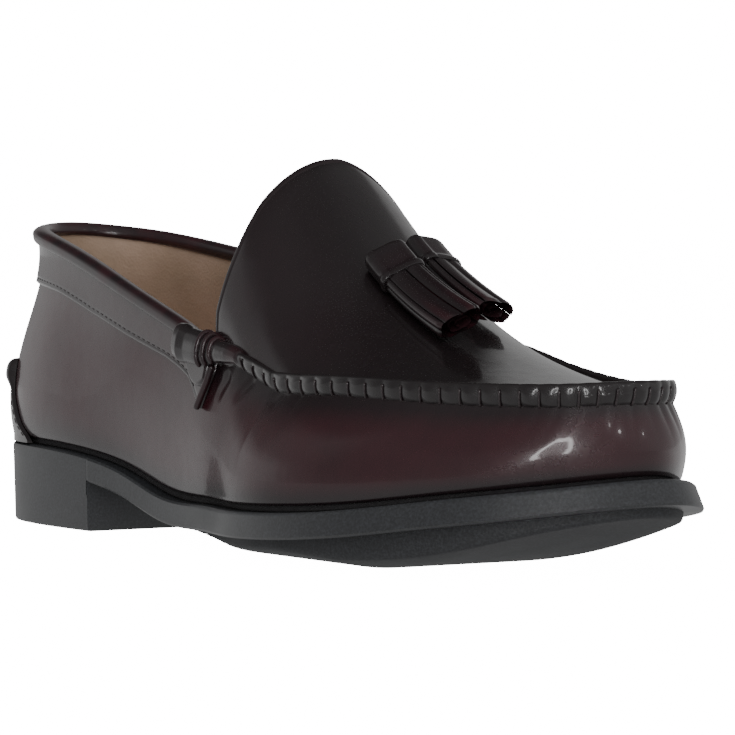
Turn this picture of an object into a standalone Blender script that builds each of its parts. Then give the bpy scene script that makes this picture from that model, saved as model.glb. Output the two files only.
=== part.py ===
# Tassel loafer, right shoe, standing empty on its sole.
# Toe towards -Y, wearer's left (medial) side towards +X, floor at z = 0, all lengths in metres.
import math

import bmesh
import bpy
import numpy as np

# Main sizes
LENGTH = 0.300            # outsole, tip to heel
BALL_HALF = 0.054         # lateral half width at the ball
COLLAR_HEIGHT = 0.0895    # top of the collar at the heel, above the floor
INSTEP_HEIGHT = 0.1073    # tip of the tongue, above the floor
HEEL_HEIGHT = 0.0235      # top of the sole at the heel
WALL = 0.0018             # upper: leather with its lining
GAP = 0.0003              # between pieces that touch
FLANGE = 0.0070           # sole edge, top to bottom
TREAD_INSET = 0.0055      # tread in from the sole edge
BREAST = 0.0730           # front face of the heel block, from the heel's rear
BREAST_SLANT = 0.0008
HEEL_CHAMFER = 0.0006
HEEL_TAPER = 0.0006       # heel block, inward from the flange to the floor
RAND_HEIGHT = 0.0022      # top of the rand above the sole
RAND_INSET = 0.0012       # rand in from the upper's lower edge
INSOLE_THICK = 0.0025
LIP = 0.0025              # the upper's lower edge above the sole
TOE_LIP = 0.0018          # and at the toe
SEAM_HEIGHT = 0.0042      # raised seam around the apron
SEAM_WIDTH = 0.0034
BAND_THICK = 0.0011       # collar band
BAND_DEPTH = 0.0130       # collar band, below the topline
BIND = 0.0009             # collar binding, thickness of its fold
BIND_DROP = 0.0022        # collar binding, down each side of the wall
PATCH_THICK = 0.0011      # heel patch
PATCH_TOP = 0.0485        # top of the heel patch, above the floor
HEEL_ROLL = 0.0022        # rolled top edge of the heel patch, outward from the patch
HEEL_ROLL_DEPTH = 0.0090  # and from its top to its foot
ROLL_THICK = 0.0048       # beef roll, outward
TASSEL_LENGTH = 0.0370    # in plan
TASSEL_HALF = 0.0061
TASSEL_THICK = 0.0027     # half thickness
TASSEL_LIFT = 0.0004      # clear of the apron
LACE_HALF = 0.0016
SUB = 3                   # stations in each row of the section table

# Outline of the sole: along / LENGTH, lateral / BALL_HALF, medial / BALL_HALF
OUTLINE = [
    (0.030, 0.424, 0.392), (0.093, 0.590, 0.598), (0.200, 0.638, 0.645), (0.300, 0.624, 0.583),
    (0.400, 0.650, 0.528), (0.500, 0.756, 0.574), (0.600, 0.941, 0.741), (0.690, 1.000, 0.917),
    (0.783, 0.930, 0.933), (0.867, 0.769, 0.812), (0.940, 0.517, 0.600),
]
TIP = 0.135               # toe tip, to the medial side, / BALL_HALF

# Top of the sole: along / LENGTH, height / HEEL_HEIGHT
FOOTBED = [
    (0.000, 1.000), (0.133, 0.998), (0.250, 0.902), (0.307, 0.777), (0.383, 0.553), (0.483, 0.518),
    (0.583, 0.553), (0.683, 0.600), (0.783, 0.702), (0.873, 0.855), (0.950, 1.000), (1.000, 1.128),
]
# Underside on the long axis: along / LENGTH, height / HEEL_HEIGHT
UNDERSIDE = [
    (0.246, 0.580), (0.300, 0.440), (0.380, 0.215), (0.450, 0.130), (0.510, 0.060), (0.580, 0.000),
    (0.753, 0.000), (0.800, 0.070), (0.830, 0.138), (0.860, 0.226), (0.890, 0.328), (0.950, 0.565),
    (1.000, 0.750),
]
# Insets along the sole: along / LENGTH, flange top from outline, feather from outline (m / LENGTH)
INSETS = [
    (0.000, 0.0000, 0.0045), (0.250, 0.0000, 0.0060), (0.420, 0.0003, 0.0070), (0.600, 0.0015, 0.0085),
    (0.750, 0.0045, 0.0120), (0.870, 0.0085, 0.0172), (0.950, 0.0100, 0.0208), (1.000, 0.0100, 0.0215),
]
# Sections of the upper's wall from the toe to the heel: around (share of the side), top out / BALL_HALF,
# top along / LENGTH, top height / COLLAR_HEIGHT (0 where the apron sets it), then the handles as shares of
# the wall's height: lower out, lower up, upper out, upper down
LATERAL = [
    (0.000, -0.093, 0.9690, 0.000, 0.10, 0.42, 0.12, 0.38),
    (0.062, 0.112, 0.9610, 0.000, 0.10, 0.42, 0.12, 0.38),
    (0.107, 0.280, 0.9360, 0.000, 0.09, 0.42, 0.13, 0.38),
    (0.154, 0.435, 0.8860, 0.000, 0.08, 0.42, 0.16, 0.38),
    (0.205, 0.560, 0.8330, 0.000, 0.07, 0.42, 0.20, 0.36),
    (0.255, 0.645, 0.7830, 0.000, 0.06, 0.42, 0.24, 0.34),
    (0.316, 0.705, 0.7200, 0.000, 0.06, 0.42, 0.27, 0.33),
    (0.374, 0.722, 0.6580, 0.000, 0.06, 0.42, 0.25, 0.33),
    (0.418, 0.700, 0.6020, 0.000, 0.06, 0.42, 0.18, 0.34),
    (0.474, 0.680, 0.5480, 0.000, 0.06, 0.40, 0.11, 0.34),
    (0.511, 0.660, 0.5050, 0.000, 0.06, 0.38, 0.07, 0.34),
    (0.556, 0.622, 0.4570, 0.640, 0.05, 0.36, 0.06, 0.33),
    (0.600, 0.603, 0.4030, 0.700, 0.05, 0.34, 0.05, 0.33),
    (0.673, 0.580, 0.3200, 0.778, 0.05, 0.34, 0.04, 0.33),
    (0.746, 0.548, 0.2370, 0.854, 0.05, 0.34, 0.00, 0.34),
    (0.817, 0.497, 0.1550, 0.915, 0.09, 0.42, -0.03, 0.30),
    (0.882, 0.407, 0.0800, 0.954, 0.09, 0.42, -0.06, 0.30),
    (0.936, 0.240, 0.0325, 0.972, 0.09, 0.44, -0.07, 0.30),
    (1.000, 0.000, 0.0165, 0.977, 0.09, 0.44, -0.07, 0.30),
]
MEDIAL = [
    (0.050, 0.267, 0.9600, 0.000, 0.12, 0.42, 0.15, 0.38),
    (0.089, 0.396, 0.9390, 0.000, 0.12, 0.42, 0.18, 0.38),
    (0.132, 0.530, 0.8960, 0.000, 0.12, 0.42, 0.21, 0.38),
    (0.183, 0.640, 0.8440, 0.000, 0.10, 0.42, 0.23, 0.36),
    (0.232, 0.700, 0.7880, 0.000, 0.08, 0.42, 0.23, 0.34),
    (0.292, 0.720, 0.7250, 0.000, 0.06, 0.42, 0.20, 0.33),
    (0.354, 0.712, 0.6600, 0.000, 0.06, 0.42, 0.16, 0.33),
    (0.402, 0.692, 0.6040, 0.000, 0.06, 0.42, 0.11, 0.34),
    (0.460, 0.667, 0.5480, 0.000, 0.06, 0.40, 0.07, 0.34),
    (0.497, 0.645, 0.5050, 0.000, 0.06, 0.38, 0.05, 0.34),
    (0.542, 0.625, 0.4570, 0.710, 0.06, 0.36, 0.04, 0.33),
    (0.587, 0.603, 0.4030, 0.755, 0.06, 0.34, 0.03, 0.33),
    (0.663, 0.575, 0.3200, 0.810, 0.06, 0.34, 0.02, 0.33),
    (0.738, 0.545, 0.2370, 0.865, 0.05, 0.34, 0.00, 0.34),
    (0.810, 0.497, 0.1550, 0.908, 0.09, 0.42, -0.03, 0.30),
    (0.878, 0.407, 0.0800, 0.944, 0.09, 0.42, -0.06, 0.30),
    (0.936, 0.240, 0.0325, 0.965, 0.09, 0.44, -0.07, 0.30),
]
CORNER = 10               # row where the topline meets the tongue
# Apron and tongue: along / LENGTH, spine height / INSTEP_HEIGHT, spine out / BALL_HALF (medial), then
# lateral reach / BALL_HALF, lateral fall / INSTEP_HEIGHT, medial reach, medial fall, share of parabola
APRON = [
    (0.484, 1.018, 0.100, 0.755, 0.545, 0.556, 0.490, 0.20),
    (0.500, 0.986, 0.092, 0.750, 0.505, 0.562, 0.445, 0.20),
    (0.550, 0.862, 0.080, 0.765, 0.412, 0.590, 0.345, 0.30),
    (0.600, 0.738, 0.074, 0.776, 0.306, 0.615, 0.238, 0.50),
    (0.650, 0.648, 0.074, 0.792, 0.220, 0.632, 0.172, 0.76),
    (0.700, 0.582, 0.074, 0.797, 0.158, 0.645, 0.138, 0.93),
    (0.787, 0.503, 0.080, 0.797, 0.096, 0.665, 0.105, 1.00),
    (0.867, 0.459, 0.090, 0.797, 0.076, 0.665, 0.084, 1.00),
    (0.967, 0.427, 0.100, 0.797, 0.074, 0.665, 0.062, 1.00),
    (1.000, 0.415, 0.100, 0.797, 0.074, 0.665, 0.058, 1.00),
]
# Free end of the tongue: share from the lateral edge (-1) over the spine (0) to the medial edge, along (m)
TONGUE = [(-1.00, 0.0), (-0.78, 0.0), (-0.60, -0.0028), (-0.40, -0.0028), (-0.20, -0.0008), (0.00, 0.0008),
          (0.20, 0.0015), (0.50, 0.0018), (0.80, 0.0006), (1.00, 0.0)]
# Where the rows of the apron end on the spine, toe row first: along / LENGTH
SPINE = [0.868, 0.860, 0.845, 0.822, 0.792, 0.755, 0.708, 0.655, 0.598, 0.542, 0.490]
# Raised seam: row, height / SEAM_HEIGHT, width / SEAM_WIDTH
SEAM = [
    (0.0, 1.15, 1.00), (2.0, 1.10, 1.00), (4.0, 1.00, 1.00), (8.0, 0.95, 1.00), (8.7, 0.60, 0.90),
    (9.2, 1.00, 1.25), (9.6, 0.95, 1.25), (10.0, 0.30, 0.90),
]
# Lower edge of the collar band below the topline: row, depth / BAND_DEPTH
BAND = [
    (10.0, 0.18), (10.35, 1.15), (11.0, 0.86), (12.0, 0.84), (13.0, 0.95), (14.0, 1.02), (15.0, 1.02),
    (16.0, 1.12), (17.0, 1.25), (18.0, 1.28),
]
# Front edge of the heel patch: height / COLLAR_HEIGHT, row (18 is the rear)
PATCH = [(0.27, 15.45), (0.33, 15.85), (0.42, 16.15), (0.50, 16.30), (0.60, 16.40), (0.80, 16.60)]
# Rolled edge of the heel patch: down from its top / HEEL_ROLL_DEPTH, outward / HEEL_ROLL
HEEL_EDGE = [(0.0, 0.10), (0.16, 0.72), (0.42, 1.00), (0.68, 0.80), (0.86, 0.30), (1.0, 0.0)]

COLOURS = {
    "black_rubber": ((0.012, 0.012, 0.013, 1), 0.45),
    "burgundy_leather": ((0.055, 0.010, 0.014, 1), 0.18),
    "dark_leather": ((0.016, 0.006, 0.008, 1), 0.22),
    "tan_leather": ((0.62, 0.40, 0.25, 1), 0.60),
}


def spline(t, y):
    """Natural cubic spline through rows y at t."""
    t = np.asarray(t, float)
    y = np.asarray(y, float)
    n = len(t)
    h = np.diff(t)
    a = np.eye(n)
    shape = (-1,) + (1,) * (y.ndim - 1)
    r = np.zeros_like(y)
    slope = np.diff(y, axis=0) / h.reshape(shape)
    for i in range(1, n - 1):
        a[i, i - 1:i + 2] = h[i - 1], 2 * (h[i - 1] + h[i]), h[i]
        r[i] = 6 * (slope[i] - slope[i - 1])
    m = np.linalg.solve(a, r)

    def value(x):
        x = np.asarray(x, float)
        i = np.clip(np.searchsorted(t, x) - 1, 0, n - 2)
        e = x.shape + (1,) * (y.ndim - 1)
        u = (x - t[i]).reshape(e)
        v = (t[i + 1] - x).reshape(e)
        k = h[i].reshape(e)
        return (m[i] * v ** 3 + m[i + 1] * u ** 3) / (6 * k) + (y[i] / k - m[i] * k / 6) * v \
            + (y[i + 1] / k - m[i + 1] * k / 6) * u
    return value


def closed_spline(p, t=None):
    """Closed cubic spline through the rows of p, as a function of a parameter."""
    p = np.asarray(p, float)
    n = len(p)
    if t is None:
        step = np.linalg.norm(np.diff(np.vstack([p, p[:1]]), axis=0), axis=1) ** 0.5
        t = np.concatenate([[0], np.cumsum(step)])
    wrap = 4
    tt = np.concatenate([t[n - wrap:n] - t[n], t, t[n] + t[1:wrap + 1]])
    pp = np.vstack([p[n - wrap:], p, p[:wrap + 1]])
    f = spline(tt, pp)
    return f, t[n]


def table(rows, column, along=0):
    rows = np.array(rows, float)
    return spline(rows[:, along], rows[:, column])


def steps(rows, x, column=1):
    rows = np.array(rows, float)
    return np.interp(x, rows[:, 0], rows[:, column])


# Plan curves. s runs forward from the heel's rear, x to the medial side.
def sole_outline(count=2400):
    rows = np.array(OUTLINE)
    lateral = np.column_stack([-rows[:, 1] * BALL_HALF, rows[:, 0] * LENGTH])
    medial = np.column_stack([rows[:, 2] * BALL_HALF, rows[:, 0] * LENGTH])
    loop = np.vstack([[TIP * BALL_HALF, LENGTH], lateral[::-1], [0, 0], medial])
    f, period = closed_spline(loop)
    c = f(np.linspace(0, period, count, endpoint=False))
    c = np.roll(c, -int(np.argmax(c[:, 1])), axis=0)
    t = np.roll(c, -1, 0) - np.roll(c, 1, 0)
    t /= np.linalg.norm(t, axis=1)[:, None]
    out = np.column_stack([t[:, 1], -t[:, 0]])
    if np.sum(out * (c - c.mean(0))) < 0:
        out = -out
    return c, out


CURVE, OUTWARD = sole_outline()
REAR = int(np.argmin(CURVE[:, 1]))
footbed = table(FOOTBED, 1)
underside_rows = table(UNDERSIDE, 1)


def underside(q):
    """Underside on the long axis, flat where it meets the floor."""
    return max(0.0, float(underside_rows(q))) if not 0.580 < q < 0.753 else 0.0


def sole_top(s):
    return HEEL_HEIGHT * footbed(np.asarray(s) / LENGTH)


def inset(column):
    """Closed loop of the outline moved inward by a column of INSETS."""
    d = LENGTH * steps(INSETS, CURVE[:, 1] / LENGTH, column)
    k = np.ones(61) / 61
    d = np.convolve(np.concatenate([d[-30:], d, d[:30]]), k, "valid")
    return CURVE - OUTWARD * d[:, None]


FEATHER = inset(2)


def side(loop, medial):
    """One side of a loop from the tip to the rear with its shares of length."""
    part = np.vstack([loop[REAR:], loop[:1]])[::-1] if medial else loop[:REAR + 1]
    run = np.concatenate([[0], np.cumsum(np.linalg.norm(np.diff(part, axis=0), axis=1))])
    return part, run / run[-1]


def on_side(loop, medial, share):
    part, run = side(loop, medial)
    return np.array([np.interp(share, run, part[:, 0]), np.interp(share, run, part[:, 1])]).T


# Apron and tongue as a height over the plan
apron = [None] + [table(APRON, c) for c in range(1, 8)]


def apron_height(x, s):
    x = np.asarray(x, float)
    s = np.asarray(s, float)
    q = np.clip(s / LENGTH, 0.484, 1.0)
    mid = apron[2](q) * BALL_HALF
    lateral = x < mid
    reach = np.where(lateral, apron[3](q), apron[5](q)) * BALL_HALF
    fall = np.where(lateral, apron[4](q), apron[6](q)) * INSTEP_HEIGHT
    m = np.clip(apron[7](q), 0, 1)
    w = np.clip(np.abs(x - mid) / reach, 0, 1)
    return apron[1](q) * INSTEP_HEIGHT - fall * ((1 - m) * (1 - np.sqrt(1 - w * w)) + m * w * w)


ROWS = len(LATERAL) - 1
# Rows are numbered along the closed loop: -ROWS (heel) .. 0 (tip) on the lateral side, 0 .. ROWS medial
TOP_ROWS = []
for index in range(-ROWS, ROWS):
    if index <= 0:
        row, sign = LATERAL[-index], -1
    else:
        row, sign = MEDIAL[index - 1], 1
    x, s = sign * row[1] * BALL_HALF, row[2] * LENGTH
    z = row[3] * COLLAR_HEIGHT if row[3] else float(apron_height(x, s))
    TOP_ROWS.append([x, s, z, row[4], row[5], row[6], row[7]])
wall_rows, _ = closed_spline(TOP_ROWS, np.arange(len(TOP_ROWS) + 1.0))
around_lateral = spline(np.arange(ROWS + 1), [r[0] for r in LATERAL])
around_medial = spline(np.arange(ROWS + 1), [0.0] + [r[0] for r in MEDIAL] + [1.0])


def lip(s):
    """Lower edge of the upper above the sole: more at the waist, less at the toe."""
    q = s / LENGTH
    return LIP + 0.0008 * math.exp(-((q - 0.37) / 0.10) ** 2) + (TOE_LIP - LIP) * min(max((q - 0.70) / 0.22, 0.0), 1.0)


def foot(i):
    """Lower edge of the upper at row i: position, outward direction."""
    medial = i > 0
    share = float((around_medial if medial else around_lateral)(abs(i)))
    p = on_side(FEATHER, medial, np.array([share]))[0]
    part, run = side(FEATHER, medial)
    k = int(np.clip(np.searchsorted(run, share), 1, len(run) - 1))
    nrm, _ = side(OUTWARD, medial)
    o = nrm[k] + (nrm[k - 1] - nrm[k]) * (run[k] - share) / max(run[k] - run[k - 1], 1e-12)
    o = o / np.linalg.norm(o)
    return np.array([p[0], p[1], float(sole_top(p[1])) + lip(p[1])]), np.array([o[0], o[1], 0.0])


def top(i):
    r = wall_rows(np.array([i + ROWS], float))[0]
    p = r[:3].copy()
    if abs(i) <= CORNER:
        p[2] = float(apron_height(p[0], p[1]))
    return p, r[3:]


SECTION = {}


def section(i):
    """Bezier points of the wall at row i."""
    key = round(float(i), 5)
    if key not in SECTION:
        f, out = foot(i)
        t, (a, b, c, d) = top(i)
        height = t[2] - f[2]
        up = np.array([0, 0, 1.0])
        SECTION[key] = (f, f + out * a * height + up * b * height, t + out * c * height - up * d * height, t)
    return SECTION[key]


def wall(i, v):
    a, b, c, d = section(i)
    w = 1 - v
    return w ** 3 * a + 3 * w * w * v * b + 3 * w * v * v * c + v ** 3 * d


def wall_normal(i, v):
    e = 0.02
    j0, j1 = i - e, i + e
    if abs(j0) > ROWS:
        j0 = -ROWS
    if abs(j1) > ROWS:
        j1 = ROWS
    dv = wall(i, min(v + 0.01, 1)) - wall(i, max(v - 0.01, 0))
    di = wall(j1, v) - wall(j0, v)
    n = np.cross(di, dv)
    n /= np.linalg.norm(n)
    f, out = foot(i)
    return n if n @ out > 0 or n[2] > 0.8 else -n


def skin(i, v, d):
    """A point d outside the upper's wall; v above 1 goes on straight up from its top."""
    n = wall_normal(i, min(v, 1.0))
    return wall(i, min(v, 1.0)) + n * d


def run_v(i, length):
    """Wall parameter at a length below the top of row i."""
    vs = np.linspace(1, 0, 41)
    p = np.array([wall(i, v) for v in vs])
    run = np.concatenate([[0], np.cumsum(np.linalg.norm(np.diff(p, axis=0), axis=1))])
    return float(np.interp(length, run, vs))


def place(p):
    """Shoe lengths (x, s, z) to scene axes."""
    return (float(p[0]), -float(p[1]), float(p[2]))


class Shell:
    """Vertices and faces of one solid."""

    def __init__(self):
        self.points = []
        self.faces = []

    def add(self, p):
        self.points.append(np.asarray(p, float))
        return len(self.points) - 1

    def row(self, ps):
        return [self.add(p) for p in ps]

    def face(self, *f):
        clean = []
        for k in f:
            if not clean or clean[-1] != k:
                clean.append(k)
        if clean[0] == clean[-1]:
            clean.pop()
        if len(set(clean)) > 2:
            self.faces.append(clean)

    def strip(self, a, b, closed=False):
        n = len(a)
        for k in range(n if closed else n - 1):
            self.face(a[k], a[(k + 1) % n], b[(k + 1) % n], b[k])

    def lattice(self, rows, closed=False):
        for a, b in zip(rows[:-1], rows[1:]):
            self.strip(a, b, closed)


def build(name, shell, colour, parent):
    mesh = bpy.data.meshes.new(name)
    mesh.from_pydata([place(p) for p in shell.points], [], shell.faces)
    bm = bmesh.new()
    bm.from_mesh(mesh)
    bmesh.ops.remove_doubles(bm, verts=bm.verts, dist=1e-7)
    bmesh.ops.recalc_face_normals(bm, faces=bm.faces)
    if bm.calc_volume(signed=True) < 0:
        bmesh.ops.reverse_faces(bm, faces=bm.faces)
    bmesh.ops.triangulate(bm, faces=bm.faces, quad_method="SHORT_EDGE")
    bm.to_mesh(mesh)
    bm.free()
    ob = bpy.data.objects.new(name, mesh)
    bpy.context.scene.collection.objects.link(ob)
    mat = bpy.data.materials.new(name + "_material")
    mat.use_nodes = True
    shader = mat.node_tree.nodes["Principled BSDF"]
    rgba, rough = COLOURS[colour]
    shader.inputs["Base Color"].default_value = rgba
    shader.inputs["Roughness"].default_value = rough
    mesh.materials.append(mat)
    ob.parent = parent
    return ob


# The upper: outer skin with the raised seam, inner skin, rims
def upper():
    shell = Shell()
    rows = 7
    cols = [k / SUB for k in range(-ROWS * SUB, ROWS * SUB)]
    count = len(cols)
    seam_h = [float(SEAM_HEIGHT * steps(SEAM, abs(i), 1)) for i in cols]
    seam_w = [float(SEAM_WIDTH * steps(SEAM, abs(i), 2)) for i in cols]
    base, vs = [], []
    for c, i in enumerate(cols):
        seamed = abs(i) <= CORNER
        last = run_v(i, seam_w[c] * 0.38 if seamed else 0.0011)
        v = np.linspace(0, last, rows)
        vs.append(v)
        base.append([wall(i, t) for t in v] + [wall(i, 1.0)])
    # apron columns, from the seam to the spine
    inner = [k for k in range(count) if abs(cols[k]) <= CORNER]
    reach = 8
    spine = spline(np.arange(CORNER + 1), SPINE)
    plug = {}
    for k in inner:
        i = cols[k]
        u = wall(i, 1.0)
        s1 = float(spine(abs(i))) * LENGTH
        target = np.array([float(apron[2](s1 / LENGTH)) * BALL_HALF, s1])
        low, high = 0.0, 0.5
        for _ in range(30):
            first = (low + high) / 2
            xy = u[:2] + (target - u[:2]) * first
            far = np.linalg.norm(np.array([xy[0], xy[1], float(apron_height(xy[0], xy[1]))]) - u)
            low, high = (first, high) if far < seam_w[k] * 0.62 else (low, first)
        q0 = math.acos(1 - first)
        pts = []
        for j in range(reach):
            turn = q0 + (math.pi / 2 - q0) * j / (reach - 1)
            xy = u[:2] + (target - u[:2]) * (1 - math.cos(turn))
            if abs(i) > CORNER - 0.01:
                xy = xy + np.array([0, float(steps(TONGUE, math.copysign(1 - turn / (math.pi / 2), i)))])
            pts.append(np.array([xy[0], xy[1], float(apron_height(xy[0], xy[1]))]))
        plug[k] = pts
    # normals of the smooth form
    form = Shell()
    band_id = [form.row(b) for b in base]
    plug_id = {k: form.row(plug[k][:-1]) for k in inner}
    ridge_id = {}
    for k in inner:
        key = abs(round(cols[k] * SUB))
        if key not in ridge_id:
            ridge_id[key] = form.add(plug[k][-1])
        plug_id[k].append(ridge_id[key])
    for k in range(count):
        n = (k + 1) % count
        form.strip(band_id[k], band_id[n])
        if k in plug_id and n in plug_id:
            form.strip([band_id[k][-1]] + plug_id[k], [band_id[n][-1]] + plug_id[n])
    pts = np.array(form.points)
    normal = np.zeros_like(pts)
    for f in form.faces:
        a, b, c = pts[f[0]], pts[f[1]], pts[f[2]]
        n = np.cross(b - a, c - a)
        if len(f) == 4:
            n = n + np.cross(c - a, pts[f[3]] - a)
        for v in f:
            normal[v] += n
    normal /= np.linalg.norm(normal, axis=1)[:, None] + 1e-15
    centre = np.array([0, 0.15, 0.03])
    if np.sum(normal * (pts - centre)) < 0:
        normal = -normal
    # vertices of the two skins
    out_band, in_band, rim, in_top = [], [], [], []
    out_plug, in_plug = {}, {}
    for k in range(count):
        ids = band_id[k]
        ob = [shell.add(pts[v]) for v in ids[:-1]]
        ib = [shell.add(pts[v] - normal[v] * WALL) for v in ids[:-1]]
        u, n = pts[ids[-1]], normal[ids[-1]]
        if k in plug_id:
            p = pts[plug_id[k][0]]
            w = pts[ids[-2]]
            lean = n + np.array([0, 0, 1.0])
            lean /= np.linalg.norm(lean)
            h = seam_h[k]
            edge = (u - w) * 0.45, (u - p) * 0.45
            rim.append([shell.add(w + edge[0] * 0.25 + lean * h * 0.72), shell.add(u - edge[0] + lean * h),
                        shell.add(u - edge[1] + lean * h), shell.add(p + edge[1] * 0.25 + lean * h * 0.66)])
            in_top.append(shell.add(u - n * WALL * 1.12))
            op = [shell.add(pts[v]) for v in plug_id[k][:-1]]
            ip = [shell.add(pts[v] - normal[v] * WALL) for v in plug_id[k][:-1]]
            out_plug[k], in_plug[k] = op, ip
        else:
            w, wn = pts[ids[-2]], normal[ids[-2]]
            rim.append([shell.add(w + (u - w) * 0.55), shell.add(u - n * WALL * 0.22),
                        shell.add(u - n * WALL * 0.78), shell.add(w + (u - w) * 0.55 - n * WALL)])
            in_top.append(ib[-1])
        out_band.append(ob)
        in_band.append(ib)
    shared = {}
    for k in inner:
        key = abs(round(cols[k] * SUB))
        if key not in shared:
            v = plug_id[k][-1]
            shared[key] = (shell.add(pts[v]), shell.add(pts[v] - normal[v] * WALL))
        out_plug[k].append(shared[key][0])
        in_plug[k].append(shared[key][1])
    for k in range(count):
        n = (k + 1) % count
        shell.strip(out_band[k], out_band[n])
        shell.strip(in_band[k], in_band[n])
        shell.face(out_band[k][0], out_band[n][0], in_band[n][0], in_band[k][0])
        here = [out_band[k][-1]] + rim[k] + [out_plug[k][0] if k in out_plug else in_band[k][-1]]
        there = [out_band[n][-1]] + rim[n] + [out_plug[n][0] if n in out_plug else in_band[n][-1]]
        shell.strip(here, there)
        if k in out_plug and n in out_plug:
            shell.strip(out_plug[k], out_plug[n])
            shell.strip(in_plug[k], in_plug[n])
            shell.strip([in_band[k][-1], in_top[k], in_plug[k][0]], [in_band[n][-1], in_top[n], in_plug[n][0]])
        elif k in out_plug or n in out_plug:
            a, b = (k, n) if k in out_plug else (n, k)
            shell.face(out_plug[a][0], in_plug[a][0], in_band[b][-1])
            shell.face(in_plug[a][0], in_top[a], in_band[b][-1])
            shell.face(in_top[a], in_band[a][-1], in_band[b][-1])
    ends = [k for k in inner if abs(abs(cols[k]) - CORNER) < 1e-9]
    for k in ends:
        shell.strip(out_plug[k], in_plug[k])
    return shell


def loop_solid(rings, cap_low=True, cap_high=True, half=None):
    """Rings of equal count joined in turn, ladders across the first and the last."""
    shell = Shell()
    ids = [shell.row(r) for r in rings]
    shell.lattice(ids, True)
    n = len(rings[0])
    for ring in (ids[0], ids[-1]):
        for k in range(half):
            a, b = k, (n - k) % n
            c, d = k + 1, (n - k - 1) % n
            shell.face(ring[a], ring[c], ring[d], ring[b])
    return shell


def ring_of(loop, shares):
    lateral = on_side(loop, False, shares)
    medial = on_side(loop, True, shares)
    return np.vstack([lateral, medial[1:-1][::-1]])


def rand():
    loop = FEATHER - OUTWARD * RAND_INSET
    shares = np.linspace(0, 1, 33)
    ring = ring_of(loop, shares)
    low = [np.array([p[0], p[1], float(sole_top(p[1])) + GAP]) for p in ring]
    high = [np.array([p[0], p[1], float(sole_top(p[1])) + min(LIP, lip(p[1])) + RAND_HEIGHT - LIP]) for p in ring]
    return loop_solid([low, high], half=32)


def insole():
    loop = FEATHER - OUTWARD * (WALL + 3 * GAP)
    shares = np.linspace(0, 1, 33)
    ring = ring_of(loop, shares)
    low = [np.array([p[0], p[1], float(sole_top(p[1])) + min(LIP, lip(p[1]))]) for p in ring]
    high = [p + np.array([0, 0, INSOLE_THICK]) for p in low]
    return loop_solid([low, high], half=32)


def outsole():
    shell = Shell()
    part, run = side(CURVE, False)
    stations = [300, 298.4, 295, 290, 283, 274, 263, 251, 239, 227, 215, 203, 191, 179, 167, 155, 143, 131,
                119, 107, 96, 85, 1000 * (BREAST + BREAST_SLANT), 1000 * BREAST, 62, 51, 41, 31, 22, 14, 7.5, 3, 0]
    stations = [v / 1000 * LENGTH / 0.3 for v in stations]
    grids = []
    for medial in (False, True):
        base, run = side(CURVE, medial)
        nrm, _ = side(OUTWARD, medial)
        order = np.argsort(base[:, 1])
        cols = []
        for j, s in enumerate(stations):
            k = order[np.searchsorted(base[order, 1], s).clip(0, len(order) - 1)]
            if j == 0:
                k = 0
            if j == len(stations) - 1:
                k = len(base) - 1
            p = base[k].copy()
            if 0 < j < len(stations) - 1:
                p = np.array([np.interp(s, base[order, 1], base[order, 0]), s])
            n = nrm[k]
            heel = s <= BREAST + 1e-6
            q = s / LENGTH
            flare = LENGTH * float(steps(INSETS, q, 1))
            z1 = float(sole_top(s))
            tread = TREAD_INSET * float(np.interp(q, [0.25, 0.45, 0.60, 0.90, 1.0], [0.7, 0.7, 0.8, 1.0, 1.1]))
            lip = [(flare + 0.004, 0.0), (flare + 0.0005, 0.0), (flare, -0.0006)]
            pts = []
            for d, drop in lip:
                xy = p - n * d
                pts.append(np.array([xy[0], xy[1], float(sole_top(xy[1])) + drop]))
            if heel:
                foot_in = HEEL_TAPER + HEEL_CHAMFER
                low = [(0.0, z1 - FLANGE), (HEEL_TAPER, HEEL_CHAMFER), (foot_in, 0.0),
                       (foot_in + 0.0030, 0.0), (foot_in + 0.0045, 0.0)]
            else:
                zb = z1 - FLANGE
                xy = p - n * (tread + 0.001)
                zt = min(HEEL_HEIGHT * underside(xy[1] / LENGTH) + edge_lift(xy[0], xy[1]), zb - 0.0011)
                low = [(0.0, zb + 0.0010), (0.0006, zb), (tread, zb - 0.0001), (tread + 0.0003, zb - 0.0005),
                       (tread + 0.0010, zt)]
            for d, z in low:
                xy = p - n * d
                pts.append(np.array([xy[0], xy[1], z]))
            cols.append(pts)
        grids.append(cols)
    lateral, medial = grids
    across = 6
    rows_low = []
    for j, s in enumerate(stations):
        a, b = lateral[j], medial[j]
        heel = s <= BREAST + 1e-6
        q = s / LENGTH
        tip = j in (0, len(stations) - 1)
        ids_a = shell.row(a)
        ids_b = ids_a if tip else shell.row(b)
        low, high = [], []
        for k in range(1, across):
            t = k / across
            lo = a[-1] + (b[-1] - a[-1]) * t
            if not heel:
                lo[2] = min(HEEL_HEIGHT * underside(lo[1] / LENGTH) + edge_lift(lo[0], lo[1]),
                            float(sole_top(lo[1])) - FLANGE - 0.0011)
            hi = a[0] + (b[0] - a[0]) * t
            hi[2] = float(sole_top(hi[1]))
            if not tip:
                low.append(shell.add(lo))
                high.append(shell.add(hi))
        if tip:
            low = [ids_a[-1]] * (across - 1)
            high = [ids_a[0]] * (across - 1)
        rows_low.append((ids_a, ids_b, low, high))
    for (a0, b0, l0, h0), (a1, b1, l1, h1) in zip(rows_low[:-1], rows_low[1:]):
        shell.strip(a0, a1)
        shell.strip(b0, b1)
        shell.strip([a0[-1]] + l0 + [b0[-1]], [a1[-1]] + l1 + [b1[-1]])
        shell.strip([a0[0]] + h0 + [b0[0]], [a1[0]] + h1 + [b1[0]])
    return shell


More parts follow.
